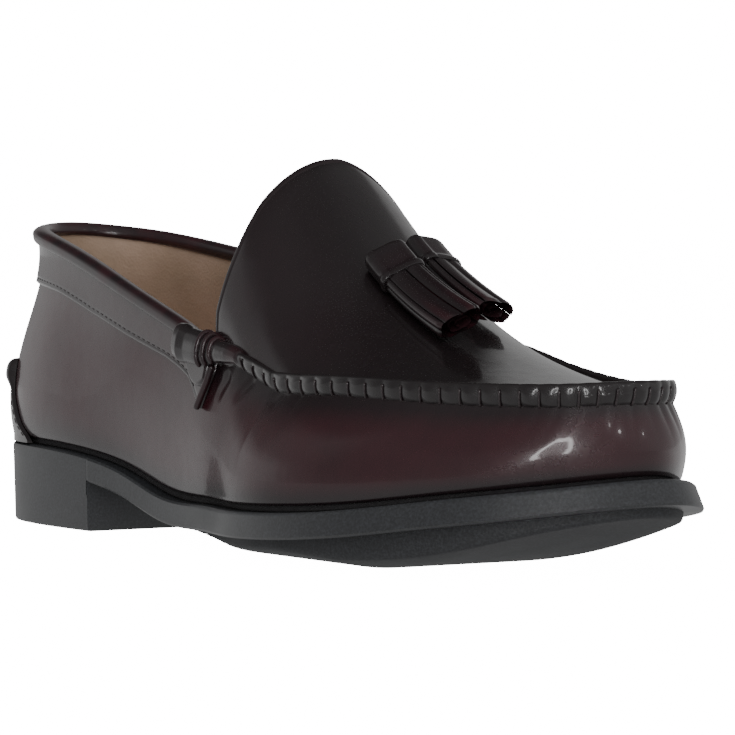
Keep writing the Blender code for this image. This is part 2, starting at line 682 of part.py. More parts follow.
def edge_lift(x, s):
    """Rise of the underside towards the sides, more on the medial side ahead of the ball."""
    if x < 0:
        return 8.0 * max(0.0, -x - 0.026) ** 2
    return float(np.interp(s / LENGTH, [0.68, 0.80], [3.5, 7.5])) * max(0.0, x - 0.012) ** 2


def patch(cells, low, high):
    """A slab over the wall: cells[c][r] = (i, v), between two distances outside the wall."""
    shell = Shell()
    a = [[shell.add(skin(i, v, low)) for i, v in col] for col in cells]
    b = [[shell.add(skin(i, v, high)) for i, v in col] for col in cells]
    shell.lattice(a)
    shell.lattice(b)
    shell.strip([c[0] for c in a], [c[0] for c in b])
    shell.strip([c[-1] for c in a], [c[-1] for c in b])
    shell.strip(a[0], b[0])
    shell.strip(a[-1], b[-1])
    return shell


def heel_round(lo, hi):
    """Rows from a medial row round the heel to a lateral row, as signed rows."""
    n = round((ROWS - lo) * SUB)
    first = [lo + k / SUB for k in range(n + 1)]
    n = round((ROWS - hi) * SUB)
    second = [-(ROWS - k / SUB) for k in range(1, n + 1)]
    return first + second


def collar_band():
    cells = []
    for i in heel_round(CORNER + 1 / SUB, CORNER + 1 / SUB):
        depth = BAND_DEPTH * float(steps(BAND, abs(i)))
        v0, v1 = run_v(i, depth), run_v(i, 0.0004)
        cells.append([(i, v0 + (v1 - v0) * r / 4) for r in range(5)])
    return patch(cells, GAP, GAP + BAND_THICK)


def at_height(i, z):
    """Wall parameter where row i is at height z."""
    low, high = 0.0, 1.0
    for _ in range(24):
        v = (low + high) / 2
        low, high = (v, high) if wall(i, v)[2] < z else (low, v)
    return (low + high) / 2


def heel_patch():
    """Patch around the heel from the rand up, wide at its foot, its top edge rolled."""
    height = np.array([p[0] for p in PATCH]) * COLLAR_HEIGHT
    edge = np.array([p[1] for p in PATCH])
    shell = Shell()
    inner, outer = [], []
    n = 9
    levels = [(k / 4, 0.0) for k in range(4)] + [(1.0, d) for d, _ in HEEL_EDGE[::-1]]
    for c in range(n, -n - 1, -1):
        t = c / n
        low, high = [], []
        for share, down in levels:
            z = PATCH_TOP - HEEL_ROLL_DEPTH * (down if share == 1.0 else 1.0)
            foot_z = wall(ROWS, 0.012)[2]
            z = foot_z + (z - foot_z) * share
            i = ROWS - (ROWS - float(np.interp(z, height, edge))) * abs(t)
            i = i if t > 0 else -i
            v = max(at_height(i, z), 0.012)
            out = PATCH_THICK
            if share == 1.0:
                out += HEEL_ROLL * float(steps(HEEL_EDGE, down)) * (1 - 0.35 * abs(t) ** 6)
            low.append(shell.add(skin(i, v, GAP)))
            high.append(shell.add(skin(i, v, GAP + out)))
        inner.append(low)
        outer.append(high)
    shell.lattice(inner)
    shell.lattice(outer)
    shell.strip([c[0] for c in inner], [c[0] for c in outer])
    shell.strip([c[-1] for c in inner], [c[-1] for c in outer])
    shell.strip(inner[0], outer[0])
    shell.strip(inner[-1], outer[-1])
    return shell


def binding():
    """Binding folded over the topline, the wall and the collar band."""
    shell = Shell()
    rings = []
    outer = BAND_THICK + 2 * GAP
    inner = -WALL - GAP * 1.3
    for i in heel_round(CORNER + 4 / SUB, CORNER + 4 / SUB):
        n = wall_normal(i, 1.0)
        t = wall(i, 1.0) - wall(i, 0.98)
        t /= np.linalg.norm(t)
        shape = [(outer, -BIND_DROP), (outer + BIND * 0.8, -BIND_DROP * 0.95), (outer + BIND, -BIND_DROP * 0.3),
                 (outer + BIND * 0.55, BIND * 1.5), ((outer + inner) / 2, BIND * 2.3), (inner - BIND * 0.55, BIND * 1.5),
                 (inner - BIND, -BIND_DROP * 0.3), (inner - BIND * 0.8, -BIND_DROP * 0.95), (inner, -BIND_DROP),
                 (inner, GAP * 1.2), (outer, GAP * 1.2)]
        ring = []
        for d, rise in shape:
            if rise < 0:
                ring.append(skin(i, run_v(i, -rise), d))
            else:
                ring.append(wall(i, 1.0) + n * d + t * rise)
        rings.append(shell.row(ring))
    shell.lattice(rings, True)
    for ring in (rings[0], rings[-1]):
        r = ring
        shell.face(r[0], r[1], r[2], r[10])
        shell.face(r[2], r[3], r[10])
        shell.face(r[3], r[4], r[10])
        shell.face(r[4], r[9], r[10])
        shell.face(r[4], r[5], r[9])
        shell.face(r[5], r[6], r[9])
        shell.face(r[6], r[7], r[8], r[9])
    return shell


def beef_roll(sign):
    """Roll folded over the front end of the collar, with three wraps."""
    shell = Shell()
    # across, as length along the wall above its top and distance outside it, in ROLL_THICK
    shape = [(-2.15, 0.30), (-1.1, 0.30), (-0.1, 0.30), (0.12, 0.02), (0.12, -0.35), (0.55, -0.45), (0.96, 0.10),
             (0.86, 0.68), (0.25, 1.04), (-0.65, 1.15), (-1.5, 1.04), (-2.10, 0.72)]
    low = GAP * 2 + BAND_THICK
    places = np.linspace(CORNER + 0.12, CORNER + 1 + 0.22, 12)
    rings = []
    for k, i in enumerate(places):
        end = 1 - 0.22 * (abs(k / 5.5 - 1)) ** 4
        wrap = 1.05 if k in (4, 6, 8) else 0.96
        n1 = wall_normal(sign * i, 1.0)
        t1 = wall(sign * i, 1.0) - wall(sign * i, 0.98)
        t1 /= np.linalg.norm(t1)
        ring = []
        for along, out in shape:
            length = along * ROLL_THICK
            if out < 0.3:
                out += (0.5 - out) * 0.9 * min(max((CORNER + 0.65 - i) / 0.3, 0.0), 1.0)
            d = low + (out - 0.30) * ROLL_THICK * (end * wrap if out > 0.3 else 1.0)
            if length < 0:
                v = run_v(sign * i, -length * (end if along < -1.5 else 1))
                ring.append(skin(sign * i, v, d))
            else:
                ring.append(wall(sign * i, 1.0) + t1 * (GAP + length * end) + n1 * d)
        rings.append(shell.row(ring))
    shell.lattice(rings, True)
    shell.face(*rings[0])
    shell.face(*rings[-1])
    return shell


def vamp_frame(x, s):
    """Point and frame on the apron: position, forward, across, normal."""
    e = 0.0005
    p = np.array([x, s, float(apron_height(x, s))])
    fx = np.array([2 * e, 0, float(apron_height(x + e, s) - apron_height(x - e, s))])
    fs = np.array([0, 2 * e, float(apron_height(x, s + e) - apron_height(x, s - e))])
    n = np.cross(fx, fs)
    n /= np.linalg.norm(n)
    return p, fx / np.linalg.norm(fx), fs / np.linalg.norm(fs), n


# Tassels: start out / BALL_HALF, start along / LENGTH, heading (degrees), share of TASSEL_LENGTH, of
# TASSEL_HALF and of TASSEL_THICK, lean to the lateral side (degrees)
TASSELS = {
    "tassel_lateral": (-0.035, 0.602, 0.0, 1.07, 1.04, 1.12, 20.0),
    "tassel_medial": (0.227, 0.587, 6.0, 0.86, 0.96, 1.15, 6.0),
}
STRIPS = 8
# Along a tassel: share of length, half width, half thickness (shares), groove depth
TASSEL = [
    (0.00, 0.80, 0.72, 0.00), (0.03, 0.97, 0.95, 0.00), (0.14, 1.02, 1.02, 0.00), (0.25, 1.00, 1.00, 0.00),
    (0.27, 0.90, 0.86, 0.10), (0.31, 0.84, 0.80, 0.16), (0.50, 0.92, 0.88, 0.16), (0.75, 1.00, 0.94, 0.18),
    (0.97, 1.04, 0.96, 0.20), (1.00, 1.00, 0.90, 0.22),
]


def tassel_ends(name):
    out, along, heading, share = TASSELS[name][:4]
    start = np.array([out * BALL_HALF, along * LENGTH])
    turn = math.radians(heading)
    return start, start + TASSEL_LENGTH * share * np.array([math.sin(turn), math.cos(turn)])


def tassel_outline(name, wide, thick):
    """Rounded oblong around a tassel, as pairs across and up in its own lean."""
    points = []
    for k in range(STRIPS * 3):
        a = 2 * math.pi * k / (STRIPS * 3)
        ca, sa = math.cos(a), math.sin(a)
        points.append((math.copysign(abs(ca) ** 0.62, ca) * TASSEL_HALF * TASSELS[name][4] * wide,
                       math.copysign(abs(sa) ** 0.72, sa) * TASSEL_THICK * TASSELS[name][5] * thick))
    return points


def tassel(name):
    (x0, s0), (x1, s1) = tassel_ends(name)
    lean = math.radians(TASSELS[name][6])
    across_x, across_z = math.cos(lean), math.sin(lean)
    lowest = max(-x * across_z - z * across_x for x, z in tassel_outline(name, 1.06, 1.06))
    shell = Shell()
    rings = []
    for q, wide, thick, groove in TASSEL:
        x, s = x0 + (x1 - x0) * q, s0 + (s1 - s0) * q
        p, ax, fw, n = vamp_frame(x, s)
        ahead = np.array([x1 - x0, s1 - s0, 0.0])
        fw = ahead - n * (ahead @ n)
        fw /= np.linalg.norm(fw)
        ax = np.cross(fw, n)
        side, up = ax * across_x + n * across_z, n * across_x - ax * across_z
        mid = p + n * (lowest + TASSEL_LIFT + 0.0006 * q)
        ring = []
        for k, (cx, cz) in enumerate(tassel_outline(name, wide, thick)):
            r = 1 - (groove if k % 3 == 0 else 0)
            ring.append(mid + side * cx * r + up * cz * r)
        rings.append(shell.row(ring))
    shell.lattice(rings, True)
    for ring in (rings[0], rings[-1]):
        mid = shell.add(np.mean([shell.points[k] for k in ring], axis=0))
        for k in range(len(ring)):
            shell.face(ring[k], ring[(k + 1) % len(ring)], mid)
    return shell


def lace():
    """Flat thong that holds both tassels, lying on the tongue."""
    shell = Shell()
    start = tassel_ends("tassel_lateral")[0] + np.array([0.001, -0.0008 - LACE_HALF])
    finish = tassel_ends("tassel_medial")[0] + np.array([-0.001, -0.0008 - LACE_HALF])
    rings = []
    for k in range(9):
        q = k / 8
        xy = start + (finish - start) * q + np.array([0, -0.0030 * math.sin(math.pi * q)])
        p, ax, fw, n = vamp_frame(xy[0], xy[1])
        along = np.array([finish[0] - start[0], finish[1] - start[1], 0])
        along = along - n * (along @ n)
        along /= np.linalg.norm(along)
        across = np.cross(n, along)
        lift = TASSEL_LIFT
        rings.append(shell.row([p + n * (lift + h) + across * w for w, h in
                                ((-LACE_HALF, 0.0), (LACE_HALF, 0.0), (LACE_HALF, 0.0012), (0.0, 0.0016),
                                 (-LACE_HALF, 0.0012))]))
    shell.lattice(rings, True)
    shell.face(*rings[0])
    shell.face(*rings[-1])
    return shell


def main():
    for ob in list(bpy.data.objects):
        bpy.data.objects.remove(ob, do_unlink=True)
    root = bpy.data.objects.new("tassel_loafer", None)
    bpy.context.scene.collection.objects.link(root)
    made = [
        build("outsole", outsole(), "black_rubber", root),
        build("rand", rand(), "black_rubber", root),
        build("insole", insole(), "tan_leather", root),
        build("upper", upper(), "burgundy_leather", root),
        build("collar_band", collar_band(), "burgundy_leather", root),
        build("collar_binding", binding(), "dark_leather", root),
        build("heel_patch", heel_patch(), "burgundy_leather", root),
        build("beef_roll_lateral", beef_roll(-1), "burgundy_leather", root),
        build("beef_roll_medial", beef_roll(1), "burgundy_leather", root),
        build("tassel_lateral", tassel("tassel_lateral"), "burgundy_leather", root),
        build("tassel_medial", tassel("tassel_medial"), "burgundy_leather", root),
        build("tassel_lace", lace(), "dark_leather", root),
    ]
    ends = np.array([v.co for ob in made for v in ob.data.vertices])
    low, high = ends.min(0), ends.max(0)
    root.location = (-(low[0] + high[0]) / 2, -(low[1] + high[1]) / 2, -low[2])


main()
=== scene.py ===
"""Tassel loafer in polished burgundy leather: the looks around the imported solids.

Shoe lengths are written as (x, s, z): x to the medial side, s forward from the heel's rear, z up from the
floor, all in metres. Function scene() turns them to the frame's axes.
"""

import math

import bmesh
import bpy
import numpy as np
from mathutils import Euler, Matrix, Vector


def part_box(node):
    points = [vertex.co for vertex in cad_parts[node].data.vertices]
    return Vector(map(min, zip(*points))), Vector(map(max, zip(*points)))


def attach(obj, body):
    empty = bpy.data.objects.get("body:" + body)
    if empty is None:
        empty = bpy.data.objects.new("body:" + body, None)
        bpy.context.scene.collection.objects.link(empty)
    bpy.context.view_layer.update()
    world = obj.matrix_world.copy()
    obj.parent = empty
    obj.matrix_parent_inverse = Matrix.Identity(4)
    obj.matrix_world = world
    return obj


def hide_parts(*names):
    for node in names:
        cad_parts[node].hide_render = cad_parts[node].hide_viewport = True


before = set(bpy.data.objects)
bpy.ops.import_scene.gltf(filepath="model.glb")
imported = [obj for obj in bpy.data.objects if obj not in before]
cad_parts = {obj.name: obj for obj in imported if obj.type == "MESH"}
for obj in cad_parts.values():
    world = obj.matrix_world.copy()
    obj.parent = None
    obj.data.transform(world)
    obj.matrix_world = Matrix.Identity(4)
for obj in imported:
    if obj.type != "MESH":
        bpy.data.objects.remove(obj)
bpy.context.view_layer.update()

bl_info = {
    "name": "Tassel loafer",
    "version": (1, 0, 0),
    "blender": (4, 5, 0),
    "location": "View3D > Sidebar > Loafer",
    "description": "Builds a moccasin loafer with tassels, piece by piece",
    "category": "Add Mesh",
}

MM = 0.001
LENGTH = 0.300            # outsole, tip to heel
BALL_HALF = 0.054         # lateral half width at the ball
COLLAR_HEIGHT = 0.0895    # top of the collar at the heel
INSTEP_HEIGHT = 0.1073    # tip of the tongue
HEEL_HEIGHT = 0.0235      # top of the sole at the heel
WALL = 0.0018             # upper with its lining
GAP = 0.0003              # between pieces that touch
FLANGE = 0.0070           # sole edge, top to bottom
TREAD_INSET = 0.0055
BREAST = 0.0730           # front face of the heel block
HEEL_TAPER = 0.0006
LIP = 0.0025              # the upper's lower edge above the sole
TOE_LIP = 0.0018          # and at the toe
INSOLE_THICK = 0.0025
RAND_INSET = 0.0012
BAND_THICK = 0.0011
BAND_DEPTH = 0.0130
BIND = 0.0009
BIND_DROP = 0.0022
PATCH_THICK = 0.0011
PATCH_TOP = 0.0485
HEEL_ROLL = 0.0022
HEEL_ROLL_DEPTH = 0.0090
TASSEL_LENGTH = 0.0370
TASSEL_HALF = 0.0061
TASSEL_THICK = 0.0027
TASSEL_LIFT = 0.0004
CORNER = 10               # row where the collar meets the tongue
ROOT = (0.0015, 0.1483)   # the shoe's own zero in the frame

# Outline of the sole: along / LENGTH, lateral / BALL_HALF, medial / BALL_HALF
OUTLINE = [
    (0.030, 0.424, 0.392), (0.093, 0.590, 0.598), (0.200, 0.638, 0.645), (0.300, 0.624, 0.583),
    (0.400, 0.650, 0.528), (0.500, 0.756, 0.574), (0.600, 0.941, 0.741), (0.690, 1.000, 0.917),
    (0.783, 0.930, 0.933), (0.867, 0.769, 0.812), (0.940, 0.517, 0.600),
]
TIP = 0.135
# Top of the sole: along / LENGTH, height / HEEL_HEIGHT
FOOTBED = [
    (0.000, 1.000), (0.133, 0.998), (0.250, 0.902), (0.307, 0.777), (0.383, 0.553), (0.483, 0.518),
    (0.583, 0.553), (0.683, 0.600), (0.783, 0.702), (0.873, 0.855), (0.950, 1.000), (1.000, 1.128),
]
# Underside on the long axis: along / LENGTH, height / HEEL_HEIGHT
UNDERSIDE = [
    (0.246, 0.580), (0.300, 0.440), (0.380, 0.215), (0.450, 0.130), (0.510, 0.060), (0.580, 0.000),
    (0.753, 0.000), (0.800, 0.070), (0.830, 0.138), (0.860, 0.226), (0.890, 0.328), (0.950, 0.565),
    (1.000, 0.750),
]
# Insets along the sole: along / LENGTH, flange top, feather (shares of LENGTH)
INSETS = [
    (0.000, 0.0000, 0.0045), (0.250, 0.0000, 0.0060), (0.420, 0.0003, 0.0070), (0.600, 0.0015, 0.0085),
    (0.750, 0.0045, 0.0120), (0.870, 0.0085, 0.0172), (0.950, 0.0100, 0.0208), (1.000, 0.0100, 0.0215),
]
# Sections of the upper's wall, toe to heel: around, top out / BALL_HALF, top along / LENGTH, top height /
# COLLAR_HEIGHT (0 where the apron sets it), lower handle out, lower up, upper out, upper down
LATERAL = [
    (0.000, -0.093, 0.9690, 0.000, 0.10, 0.42, 0.12, 0.38),
    (0.062, 0.112, 0.9610, 0.000, 0.10, 0.42, 0.12, 0.38),
    (0.107, 0.280, 0.9360, 0.000, 0.09, 0.42, 0.13, 0.38),
    (0.154, 0.435, 0.8860, 0.000, 0.08, 0.42, 0.16, 0.38),
    (0.205, 0.560, 0.8330, 0.000, 0.07, 0.42, 0.20, 0.36),
    (0.255, 0.645, 0.7830, 0.000, 0.06, 0.42, 0.24, 0.34),
    (0.316, 0.705, 0.7200, 0.000, 0.06, 0.42, 0.27, 0.33),
    (0.374, 0.722, 0.6580, 0.000, 0.06, 0.42, 0.25, 0.33),
    (0.418, 0.700, 0.6020, 0.000, 0.06, 0.42, 0.18, 0.34),
    (0.474, 0.680, 0.5480, 0.000, 0.06, 0.40, 0.11, 0.34),
    (0.511, 0.660, 0.5050, 0.000, 0.06, 0.38, 0.07, 0.34),
    (0.556, 0.622, 0.4570, 0.640, 0.05, 0.36, 0.06, 0.33),
    (0.600, 0.603, 0.4030, 0.700, 0.05, 0.34, 0.05, 0.33),
    (0.673, 0.580, 0.3200, 0.778, 0.05, 0.34, 0.04, 0.33),
    (0.746, 0.548, 0.2370, 0.854, 0.05, 0.34, 0.00, 0.34),
    (0.817, 0.497, 0.1550, 0.915, 0.09, 0.42, -0.03, 0.30),
    (0.882, 0.407, 0.0800, 0.954, 0.09, 0.42, -0.06, 0.30),
    (0.936, 0.240, 0.0325, 0.972, 0.09, 0.44, -0.07, 0.30),
    (1.000, 0.000, 0.0165, 0.977, 0.09, 0.44, -0.07, 0.30),
]
MEDIAL = [
    (0.050, 0.267, 0.9600, 0.000, 0.12, 0.42, 0.15, 0.38),
    (0.089, 0.396, 0.9390, 0.000, 0.12, 0.42, 0.18, 0.38),
    (0.132, 0.530, 0.8960, 0.000, 0.12, 0.42, 0.21, 0.38),
    (0.183, 0.640, 0.8440, 0.000, 0.10, 0.42, 0.23, 0.36),
    (0.232, 0.700, 0.7880, 0.000, 0.08, 0.42, 0.23, 0.34),
    (0.292, 0.720, 0.7250, 0.000, 0.06, 0.42, 0.20, 0.33),
    (0.354, 0.712, 0.6600, 0.000, 0.06, 0.42, 0.16, 0.33),
    (0.402, 0.692, 0.6040, 0.000, 0.06, 0.42, 0.11, 0.34),
    (0.460, 0.667, 0.5480, 0.000, 0.06, 0.40, 0.07, 0.34),
    (0.497, 0.645, 0.5050, 0.000, 0.06, 0.38, 0.05, 0.34),
    (0.542, 0.625, 0.4570, 0.710, 0.06, 0.36, 0.04, 0.33),
    (0.587, 0.603, 0.4030, 0.755, 0.06, 0.34, 0.03, 0.33),
    (0.663, 0.575, 0.3200, 0.810, 0.06, 0.34, 0.02, 0.33),
    (0.738, 0.545, 0.2370, 0.865, 0.05, 0.34, 0.00, 0.34),
    (0.810, 0.497, 0.1550, 0.908, 0.09, 0.42, -0.03, 0.30),
    (0.878, 0.407, 0.0800, 0.944, 0.09, 0.42, -0.06, 0.30),
    (0.936, 0.240, 0.0325, 0.965, 0.09, 0.44, -0.07, 0.30),
]
# Apron and tongue: along / LENGTH, spine height / INSTEP_HEIGHT, spine out / BALL_HALF (medial), then
# lateral reach / BALL_HALF, lateral fall / INSTEP_HEIGHT, medial reach, medial fall, share of parabola
APRON = [
    (0.484, 1.018, 0.100, 0.755, 0.545, 0.556, 0.490, 0.20),
    (0.500, 0.986, 0.092, 0.750, 0.505, 0.562, 0.445, 0.20),
    (0.550, 0.862, 0.080, 0.765, 0.412, 0.590, 0.345, 0.30),
    (0.600, 0.738, 0.074, 0.776, 0.306, 0.615, 0.238, 0.50),
    (0.650, 0.648, 0.074, 0.792, 0.220, 0.632, 0.172, 0.76),
    (0.700, 0.582, 0.074, 0.797, 0.158, 0.645, 0.138, 0.93),
    (0.787, 0.503, 0.080, 0.797, 0.096, 0.665, 0.105, 1.00),
    (0.867, 0.459, 0.090, 0.797, 0.076, 0.665, 0.084, 1.00),
    (0.967, 0.427, 0.100, 0.797, 0.074, 0.665, 0.062, 1.00),
    (1.000, 0.415, 0.100, 0.797, 0.074, 0.665, 0.058, 1.00),
]
# Free end of the tongue: share from the lateral edge (-1) over the spine (0) to the medial edge, along (mm)
TONGUE = [(-1.00, 0.0), (-0.90, -2.0), (-0.80, -4.2), (-0.60, -3.2), (-0.40, -3.0), (-0.20, -1.0),
          (0.00, 0.8),
          (0.20, 1.5), (0.50, 2.0), (0.80, 0.6), (1.00, 0.0)]
# Where the rows of the apron end on the spine, toe row first: along / LENGTH
SPINE = [0.868, 0.860, 0.845, 0.822, 0.792, 0.755, 0.708, 0.655, 0.598, 0.542, 0.490]
# Raised seam: row, height, width (shares)
SEAM = [
    (0.0, 1.06, 1.00), (2.0, 1.04, 1.00), (4.0, 1.00, 1.00), (8.0, 0.95, 1.00), (8.80, 0.75, 0.90),
    (9.20, 0.45, 0.80), (10.0, 0.30, 0.70),
]
# Section of the raised seam from the wall's crease over its top to the apron: outward, up (mm), pucker
RIDGE = [
    (0.95, -1.15, 0.60), (1.35, -0.35, 1.00), (1.45, 0.70, 1.00), (1.25, 1.90, 1.00), (0.80, 3.00, 0.80),
    (0.25, 3.90, 0.45), (-0.40, 4.42, 0.15), (-1.05, 4.40, 0.05), (-1.55, 3.85, 0.05), (-1.75, 2.80, 0.10),
    (-1.85, 1.50, 0.20), (-2.30, 0.45, 0.15), (-3.00, -0.15, 0.00), (-1.60, -1.30, 0.00),
    (-0.20, -1.90, 0.00),
]
# Lower edge of the collar band below the topline: row, depth / BAND_DEPTH
BAND = [
    (10.0, 0.18), (10.35, 1.15), (11.0, 0.86), (12.0, 0.84), (13.0, 0.95), (14.0, 1.02), (15.0, 1.02),
    (16.0, 1.12), (17.0, 1.25), (18.0, 1.28),
]
# Front edge of the heel patch: height / COLLAR_HEIGHT, row (18 is the rear)
PATCH = [(0.27, 15.45), (0.33, 15.85), (0.42, 16.15), (0.50, 16.30), (0.60, 16.40), (0.80, 16.60)]
# Rolled edge of the heel patch: down from its top / HEEL_ROLL_DEPTH, outward / HEEL_ROLL
HEEL_EDGE = [(0.0, 0.10), (0.16, 0.72), (0.42, 1.00), (0.68, 0.80), (0.86, 0.30), (1.0, 0.0)]
# Tassels: start out / BALL_HALF, start along / LENGTH, heading (degrees), share of TASSEL_LENGTH, of
# TASSEL_HALF and of TASSEL_THICK, lean to the lateral side (degrees)
TASSELS = {
    "tassel_lateral": (-0.035, 0.602, 0.0, 1.07, 1.04, 1.12, 20.0),
    "tassel_medial": (0.227, 0.587, 6.0, 0.86, 0.96, 1.15, 6.0),
}


# Curves shared with the solids
def spline(t, y):
    """Natural cubic spline through rows y at t."""
    t, y = np.asarray(t, float), np.asarray(y, float)
    n, h = len(t), np.diff(t)
    a, r = np.eye(n), np.zeros_like(y)
    slope = np.diff(y, axis=0) / h.reshape((-1,) + (1,) * (y.ndim - 1))
    for i in range(1, n - 1):
        a[i, i - 1:i + 2] = h[i - 1], 2 * (h[i - 1] + h[i]), h[i]
        r[i] = 6 * (slope[i] - slope[i - 1])
    m = np.linalg.solve(a, r)

    def value(x):
        x = np.asarray(x, float)
        i = np.clip(np.searchsorted(t, x) - 1, 0, n - 2)
        e = x.shape + (1,) * (y.ndim - 1)
        u, v, k = (x - t[i]).reshape(e), (t[i + 1] - x).reshape(e), h[i].reshape(e)
        return (m[i] * v ** 3 + m[i + 1] * u ** 3) / (6 * k) + (y[i] / k - m[i] * k / 6) * v \
            + (y[i + 1] / k - m[i + 1] * k / 6) * u
    return value


def closed_spline(p, t=None):
    """Closed cubic spline through the rows of p, and its period."""
    p = np.asarray(p, float)
    n = len(p)
    if t is None:
        step = np.linalg.norm(np.diff(np.vstack([p, p[:1]]), axis=0), axis=1) ** 0.5
        t = np.concatenate([[0], np.cumsum(step)])
    tt = np.concatenate([t[n - 4:n] - t[n], t, t[n] + t[1:5]])
    return spline(tt, np.vstack([p[n - 4:], p, p[:5]])), t[n]


def table(rows, column):
    rows = np.array(rows, float)
    return spline(rows[:, 0], rows[:, column])


def steps(rows, x, column=1):
    rows = np.array(rows, float)
    return np.interp(x, rows[:, 0], rows[:, column])


def unit(p):
    return p / (np.linalg.norm(p, axis=-1, keepdims=True) + 1e-12)


def smooth(x):
    x = np.clip(x, 0, 1)
    return x * x * (3 - 2 * x)


def sole_outline(count=2400):
    rows = np.array(OUTLINE)
    lateral = np.column_stack([-rows[:, 1] * BALL_HALF, rows[:, 0] * LENGTH])
    medial = np.column_stack([rows[:, 2] * BALL_HALF, rows[:, 0] * LENGTH])
    f, period = closed_spline(np.vstack([[TIP * BALL_HALF, LENGTH], lateral[::-1], [0, 0], medial]))
    c = f(np.linspace(0, period, count, endpoint=False))
    c = np.roll(c, -int(np.argmax(c[:, 1])), axis=0)
    t = unit(np.roll(c, -1, 0) - np.roll(c, 1, 0))
    out = np.column_stack([t[:, 1], -t[:, 0]])
    return c, out if np.sum(out * (c - c.mean(0))) > 0 else -out


CURVE, OUTWARD = sole_outline()
REAR = int(np.argmin(CURVE[:, 1]))
footbed, underside_rows = table(FOOTBED, 1), table(UNDERSIDE, 1)
apron = [None] + [table(APRON, c) for c in range(1, 8)]
spine = spline(np.arange(CORNER + 1), SPINE)
ROWS = len(LATERAL) - 1


def sole_top(s):
    return HEEL_HEIGHT * footbed(np.asarray(s) / LENGTH)


def underside(x, s):
    """Underside ahead of the heel, flat on the floor below the ball, rising to the toe and the sides."""
    q = s / LENGTH
    mid = np.where((q > 0.580) & (q < 0.753), 0.0, np.maximum(underside_rows(q), 0.0)) * HEEL_HEIGHT
    rise = np.where(x < 0, 8.0 * np.maximum(0.0, -x - 0.026) ** 2,
                    np.interp(q, [0.68, 0.80], [3.5, 7.5]) * np.maximum(0.0, x - 0.012) ** 2)
    return np.minimum(mid + rise, sole_top(s) - FLANGE - 0.0011)


def inset(column):
    d = LENGTH * steps(INSETS, CURVE[:, 1] / LENGTH, column)
    d = np.convolve(np.concatenate([d[-30:], d, d[:30]]), np.ones(61) / 61, "valid")
    return CURVE - OUTWARD * d[:, None]


def sides(loop):
    """Lateral and medial side of a loop from the tip to the rear, with their shares of length."""
    made = []
    for part, out in ((loop[:REAR + 1], OUTWARD[:REAR + 1]),
                      (np.vstack([loop[REAR:], loop[:1]])[::-1],
                       np.vstack([OUTWARD[REAR:], OUTWARD[:1]])[::-1])):
        run = np.concatenate([[0], np.cumsum(np.linalg.norm(np.diff(part, axis=0), axis=1))])
        made.append((part, out, run / run[-1]))
    return made


FEATHER = sides(inset(2))
EDGE = sides(CURVE)


def on_side(part, share):
    """Point and outward direction in plan at a share of one side."""
    p, n, run = part
    both = [np.stack([np.interp(share, run, c[:, 0]), np.interp(share, run, c[:, 1])], -1) for c in (p, n)]
    return both[0], unit(both[1])


def apron_height(x, s):
    q = np.clip(s / LENGTH, 0.484, 1.0)
    mid = apron[2](q) * BALL_HALF
    lateral = x < mid
    reach = np.where(lateral, apron[3](q), apron[5](q)) * BALL_HALF
    fall = np.where(lateral, apron[4](q), apron[6](q)) * INSTEP_HEIGHT
    m = np.clip(apron[7](q), 0, 1)
    w = np.clip(np.abs(x - mid) / reach, 0, 1)
    return apron[1](q) * INSTEP_HEIGHT - fall * ((1 - m) * (1 - np.sqrt(1 - w * w)) + m * w * w)


def top_rows():
    made = []
    for index in range(-ROWS, ROWS):
        row, sign = (LATERAL[-index], -1) if index <= 0 else (MEDIAL[index - 1], 1)
        x, s = sign * row[1] * BALL_HALF, row[2] * LENGTH
        made.append([x, s, row[3] * COLLAR_HEIGHT if row[3] else float(apron_height(x, s)), *row[4:8]])
    return made


wall_rows, _ = closed_spline(top_rows(), np.arange(2 * ROWS + 1.0))
around = (spline(np.arange(ROWS + 1), [r[0] for r in LATERAL]),
          spline(np.arange(ROWS + 1), [0.0] + [r[0] for r in MEDIAL] + [1.0]))


def wrapped(i):
    """Rows run from -ROWS at the heel through 0 at the toe to ROWS, and go on round the heel."""
    return (np.asarray(i, float) + ROWS) % (2 * ROWS) - ROWS


def lip(s):
    """Lower edge of the upper above the sole: more at the waist, less at the toe."""
    q = s / LENGTH
    return LIP + 0.0008 * np.exp(-((q - 0.37) / 0.10) ** 2) + (TOE_LIP - LIP) * np.clip((q - 0.70) / 0.22,
                                                                                        0, 1)


def section(i):
    """The four points that shape the wall's curve at rows i, from its foot to its top."""
    i = wrapped(i)
    foot, out = np.zeros(i.shape + (3,)), np.zeros(i.shape + (3,))
    for medial in (0, 1):
        m = (i > 0) == bool(medial)
        p, n = on_side(FEATHER[medial], around[medial](np.abs(i[m])))
        foot[m, :2], out[m, :2] = p, n
    s = foot[..., 1]
    foot[..., 2] = sole_top(s) + lip(s)
    r = wall_rows(i + ROWS)
    top = r[..., :3].copy()
    free = smooth(np.abs(i) - 8.5)[..., None]
    top[..., 2:] = top[..., 2:] * free + apron_height(top[..., 0], top[..., 1])[..., None] * (1 - free)
    height = (top[..., 2] - foot[..., 2])[..., None]
    up = np.array([0, 0, 1.0])
    a, b, c, d = (r[..., k][..., None] for k in (3, 4, 5, 6))
    return foot, foot + out * a * height + up * b * height, top + out * c * height - up * d * height, top, out


def wall(i, v):
    a, b, c, d, _ = section(i)
    v = np.asarray(v, float)[..., None]
    w = 1 - v
    return w ** 3 * a + 3 * w * w * v * b + 3 * w * v * v * c + v ** 3 * d


def wall_normal(i, v):
    i, v = np.broadcast_arrays(np.asarray(i, float), np.asarray(v, float))
    up = wall(i, np.minimum(v + 0.012, 1)) - wall(i, np.maximum(v - 0.012, 0))
    return unit(np.cross(up, wall(i + 0.04, v) - wall(i - 0.04, v)))


